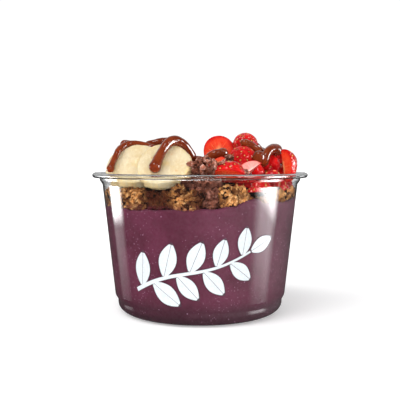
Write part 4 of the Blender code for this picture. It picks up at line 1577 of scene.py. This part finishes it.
@dataclass
class LeafPrint:
    """A leafy branch printed on the front of the cup: white leaves over a dark layer that paints their thin shadow as
    an outline round them and shows in the vein.

    Lengths in the plane of the print are in mm, along the wall and up from the foot.
    """

    cup: Cup
    lift: float = 0.05 * MM
    # How far the painted shadow reaches past the white print, in mm.
    edge: float = 0.32
    vein: float = 0.2
    half_stem: float = 0.9
    leaves: int = 9
    leaf_length: float = 20.0
    leaf_width: float = 0.25
    steps: int = 18

    def stem(self, t: float) -> Vector:
        """The stem's place at a share of its way, from low on the left to high on the right."""
        return Vector((-36 + 62 * t, 18 + 20 * t + 1.6 * math.sin(math.tau * t)))

    def heading(self, t: float) -> float:
        """The stem's angle there."""
        way = self.stem(t + 0.01) - self.stem(t - 0.01)
        return math.atan2(way.y, way.x)

    def sprouts(self) -> list[tuple[Vector, float, float]]:
        """Where each leaf grows, its angle and its length: by turns on both sides, then one at the tip."""
        found = []
        for i in range(self.leaves):
            t = (i + 0.55) / (self.leaves + 0.2)
            side = 1 if i % 2 == 0 else -1
            length = self.leaf_length * (1 - 0.28 * t) * (0.94 if i % 3 == 0 else 1.0)
            found.append((self.stem(t), self.heading(t) + side * math.radians(58), length))
        return [*found, (self.stem(1.0), self.heading(1.0), self.leaf_length * 0.75)]

    def half_width(self, share: float, length: float) -> float:
        """Half a leaf's width at a share of its length."""
        return self.leaf_width * length * math.sin(math.pi * min(1.0, max(0.0, share))) ** 0.85

    def strip(self, shape: bmesh.types.BMesh, rows: Sequence[tuple[Vector, Vector]], lift: float) -> None:
        """Fills the space between two lines with a skin on the wall.

        Args:
            shape: The shape it is added to.
            rows: Pairs of opposite points of the lines.
            lift: Its height over the wall.
        """
        cells = [[shape.verts.new(self.on_wall(low.lerp(high, i / 4), lift)) for i in range(5)] for low, high in rows]
        for first, second in zip(cells, cells[1:]):
            for i in range(4):
                shape.faces.new((first[i], second[i], second[i + 1], first[i + 1]))

    def on_wall(self, place: Vector, lift: float) -> Vector:
        """The place on the wall of a place in the plane of the print."""
        radius = self.cup.wall_radius(place.y * MM) + self.cup.wall / 2 + lift
        angle = place.x / 50 - math.pi / 2
        return Vector((radius * math.cos(angle), radius * math.sin(angle), place.y * MM))

    def leaf(self, shape: bmesh.types.BMesh, sprout: tuple[Vector, float, float], shadow_outline: bool) -> None:
        """Adds a leaf.

        Args:
            shape: The shape it is added to.
            sprout: Where it grows, its angle and its length.
            shadow_outline: Whether it is the whole dark leaf under the two white halves, the painted shadow round
                their edge and in the vein.
        """
        start, angle, length = sprout
        along, across = Vector((math.cos(angle), math.sin(angle))), Vector((-math.sin(angle), math.cos(angle)))
        extra = self.edge if shadow_outline else 0.0
        rows = []
        for i in range(self.steps + 1):
            share = i / self.steps
            place = start + along * (share * (length + 2 * extra) - extra)
            rows.append((place, self.half_width(share, length) + extra))
        if shadow_outline:
            self.strip(shape, [(place - across * half, place + across * half) for place, half in rows], self.lift)
            return
        inner = [(place, half) for place, half in rows if half > self.vein * 1.5]
        for side in (1, -1):
            pairs = [(place + across * side * self.vein / 2, place + across * side * half) for place, half in inner]
            self.strip(shape, pairs if side == 1 else [(high, low) for low, high in pairs], self.lift * 2.4)

    def stalk(self, shape: bmesh.types.BMesh, extra: float, lift: float) -> None:
        """Adds the stem, wider by extra on each side, tapering to its tip."""
        rows = []
        for i in range(61):
            t = i / 60
            across = Vector((-math.sin(self.heading(t)), math.cos(self.heading(t))))
            half = self.half_stem * (1.15 - 0.6 * t) + extra
            rows.append((self.stem(t) - across * half, self.stem(t) + across * half))
        self.strip(shape, rows, lift)

    def build(self) -> None:
        """The dark layer of painted shadow below, then the white print over it."""
        for name, ink, shadow_outline in (("leaf_print_edge", PAINTED_SHADOW_INK, True), ("leaf_print", WHITE_INK, False)):
            shape = bmesh.new()
            for sprout in self.sprouts():
                self.leaf(shape, sprout, shadow_outline)
            self.stalk(shape, self.edge if shadow_outline else 0.0, self.lift * (1.4 if shadow_outline else 2.8))
            for face in shape.faces:
                face.normal_update()
                if face.normal.dot(face.calc_center_median() * Vector((1, 1, 0))) < 0:
                    face.normal_flip()
            settled(piece_from(name, mesh_of(name, shape), [ink]), "clear_plastic")


# ---------------------------------------------------------------------------------------------------------
# The studio
# ---------------------------------------------------------------------------------------------------------


@dataclass(frozen=True)
class PanelGlow(Finish):
    """The light of a tall panel, even down to a height and then fading out; its UV map runs across it."""

    strength: float
    even: float
    dark: float
    low: float
    soft: float
    fade: float
    slant: float = 0.0

    def dress(self, tree: Tree, shader: bpy.types.bpy_prop_collection) -> None:
        """Light alone, softer at both sides."""
        height = tree.add("ShaderNodeSeparateXYZ", {0: tree.place()}).outputs[2]
        face = tree.add("ShaderNodeUVMap", uv_map="face").outputs[0]
        across = tree.add("ShaderNodeSeparateXYZ", {0: face}).outputs[0]
        sides = tree.math("MULTIPLY", tree.span(across, 0.0, self.soft), tree.span(across, 1.0, 1.0 - self.soft))
        height = tree.math("MULTIPLY_ADD", across, -self.slant, height)
        knee = tree.span(height, self.even - self.fade, self.even, 0.0, 1.0 - self.low)
        low = tree.span(height, self.dark, self.even, 0.0, self.low)
        shader["Base Color"].default_value = (0.0, 0.0, 0.0, 1.0)
        shader["Emission Strength"].default_value = self.strength
        tree.feed(shader["Emission Color"], tree.math("MULTIPLY", sides, tree.math("ADD", knee, low)))


@dataclass
class Studio:
    """A pale floor, soft light and the camera."""

    lens: float = 62.24
    distance: float = 0.380
    eye: float = 0.08393
    pitch: float = 0.061
    sky: float = 0.50
    gloss: float = 0.06
    backdrop: float = 1.05

    def softbox(self, name: str, azimuth: float, distance: float, z: float, size: tuple, watts: float) -> None:
        """A soft light that faces the bowl.

        Args:
            name: Its name.
            azimuth: Where it stands, in degrees: 0 is at the camera, and it grows to the right.
            distance: How far away it is.
            z: Its height.
            size: Its width and height.
            watts: Its power.
        """
        lamp = bpy.data.lights.new(name, "AREA")
        lamp.shape = "RECTANGLE"
        lamp.size, lamp.size_y = size
        lamp.energy = watts
        made = bpy.data.objects.new(name, lamp)
        angle = math.radians(azimuth)
        made.location = (distance * math.sin(angle), -distance * math.cos(angle), z)
        aim = Vector((0, 0, 0.05)) - made.location
        made.rotation_euler = aim.to_track_quat("-Z", "Z").to_euler()
        bpy.context.scene.collection.objects.link(made)

    def panel(self, name: str, start: float, end: float, top: float, glow: PanelGlow) -> None:
        """A tall curved panel 0.6 m away that is seen only in glossy surfaces.

        Args:
            name: Its name.
            start: The azimuth at which it starts, in degrees.
            end: The azimuth at which it ends.
            top: How high it reaches.
            glow: Its light.
        """
        shape = bmesh.new()
        face_map = shape.loops.layers.uv.new("face")
        columns = []
        for i in range(13):
            angle = math.radians(start + (end - start) * i / 12)
            place = Vector((0.6 * math.sin(angle), -0.6 * math.cos(angle), 0))
            columns.append([shape.verts.new(place + Vector((0, 0, z))) for z in (-0.5, -0.2, -0.05, top)])
        for i, (left, right) in enumerate(zip(columns, columns[1:])):
            for j in range(3):
                face = shape.faces.new((left[j], right[j], right[j + 1], left[j + 1]))
                for loop, share in zip(face.loops, (i, i + 1, i + 1, i)):
                    loop[face_map].uv = (share / 12, j / 3)
        made = piece_from(name, mesh_of(name, shape), [glow])
        made.visible_camera = made.visible_diffuse = made.visible_transmission = made.visible_shadow = False

    def floor(self) -> None:
        """The paper floor."""
        shape = bmesh.new()
        bmesh.ops.create_grid(shape, x_segments=1, y_segments=1, size=6.0)
        made = piece_from("floor", mesh_of("floor", shape, smooth=False))
        paper = bpy.data.materials.new("floor_paper")
        paper.use_nodes = True
        shader = paper.node_tree.nodes["Principled BSDF"].inputs
        tree = Tree(paper.node_tree)
        rays = tree.add("ShaderNodeLightPath").outputs
        mirrored = rays["Glossy Depth"]
        tree.feed(shader["Base Color"], tree.mix(mirrored, (0.93, 0.93, 0.935, 1.0), (0.05, 0.05, 0.05, 1.0)))
        reach = tree.add("ShaderNodeVectorMath", {0: tree.place()}, operation="LENGTH").outputs["Value"]
        near = tree.math("MULTIPLY_ADD", rays["Is Diffuse Ray"], 0.60, 0.28)
        glow = tree.span(reach, 0.15, 0.60, near, 0.60)
        tree.feed(shader["Emission Strength"], tree.math("MULTIPLY", glow, tree.math("SUBTRACT", 1.0, mirrored, clamp=True)))
        shader["Roughness"].default_value = 0.9
        shader["Specular IOR Level"].default_value = 0.1
        shader["Emission Color"].default_value = (1.0, 1.0, 1.0, 1.0)
        made.data.materials.append(paper)
        made.visible_glossy = False

    def surround(self) -> None:
        """White behind the bowl, dimmer above and below for light bent by the plastic, and a soft sky."""
        world = bpy.data.worlds.new("studio")
        world.use_nodes = True
        tree = Tree(world.node_tree)
        rays = tree.add("ShaderNodeLightPath").outputs
        way = tree.add("ShaderNodeSeparateXYZ", {0: tree.add("ShaderNodeTexCoord").outputs["Generated"]}).outputs
        through = tree.span(tree.math("ABSOLUTE", way[2]), 0.12, 0.30, self.backdrop, 0.06)
        mirrored = tree.math("GREATER_THAN", rays["Glossy Depth"], 0.5)
        direct = tree.math("MULTIPLY", rays["Is Transmission Ray"], tree.math("SUBTRACT", 1.0, mirrored))
        through = tree.math("MULTIPLY", direct, through)
        seen = tree.math("MAXIMUM", tree.math("MULTIPLY", rays["Is Camera Ray"], self.backdrop), through)
        behind = tree.math("MULTIPLY", tree.span(way[2], 0.0, 0.1), tree.span(way[1], 0.2, 0.7, 0.0, 0.45))
        gloss = tree.math("ADD", behind, self.gloss)
        dim = tree.math("MULTIPLY_ADD", mirrored, tree.math("SUBTRACT", gloss, self.sky), self.sky)
        dim = tree.math("MULTIPLY", dim, tree.math("SUBTRACT", 1.0, direct))
        background = world.node_tree.nodes["Background"].inputs
        tree.feed(background["Strength"], tree.math("MAXIMUM", seen, dim))
        background["Color"].default_value = (1.0, 1.0, 1.0, 1.0)
        bpy.context.scene.world = world

    def camera(self) -> None:
        """The camera, at the front and a little above the rim."""
        lens = bpy.data.cameras.new("camera")
        lens.lens = self.lens
        lens.sensor_width = 36.0
        lens.clip_start = 0.01
        made = bpy.data.objects.new("camera", lens)
        made.location = (0.0, -self.distance, self.eye)
        made.rotation_euler = (math.pi / 2 - self.pitch, 0.0, 0.0)
        bpy.context.scene.collection.objects.link(made)
        bpy.context.scene.camera = made

    def build(self) -> None:
        """Floor, surroundings, lights and camera."""
        self.floor()
        self.surround()
        sun = bpy.data.lights.new("sky", "SUN")
        sun.energy = 1.25
        sun.angle = math.radians(40)
        lamp = bpy.data.objects.new("sky", sun)
        lamp.visible_glossy = False
        lamp.rotation_euler = Vector((0.95, 0.5, -1.0)).to_track_quat("-Z", "Y").to_euler()
        bpy.context.scene.collection.objects.link(lamp)
        self.panel("left_panel", -99, -130, 0.05, PanelGlow("left_glow", 14.0, -0.086, -0.28, 0.09, 0.30, 0.03, 0.045))
        self.panel("right_panel", 62, 104, 0.3, PanelGlow("right_glow", 20.0, -0.083, -0.29, 0.20, 0.36, 0.035))
        self.softbox("front_box", -20, 0.45, 0.95, (0.30, 0.30), 2.0)
        self.softbox("low_fill", 10, 0.9, 0.10, (0.5, 0.3), 4.0)
        bpy.data.objects["low_fill"].visible_glossy = False
        self.softbox("spark_box", 48, 0.6, 0.5, (0.12, 0.12), 0.4)
        self.camera()
        bpy.context.scene.view_settings.view_transform = "Standard"


def main() -> None:
    """Loads the frame, builds each part of the bowl in turn and notes its size."""
    logging.basicConfig(level=logging.INFO, format="%(name)s: %(message)s")
    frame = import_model()
    cup, levels = Cup(), Levels()
    for part in (
        cup,
        AcaiFill(cup, levels),
        GranolaBed(cup, levels),
        NibHeap(cup, levels),
        BananaRow(),
        StrawberryPile(),
        SpreadRibbons(frame["nodes"]),
        LeafPrint(cup),
    ):
        part.build()
    Studio().build()


if __name__ == "__main__":
    main()
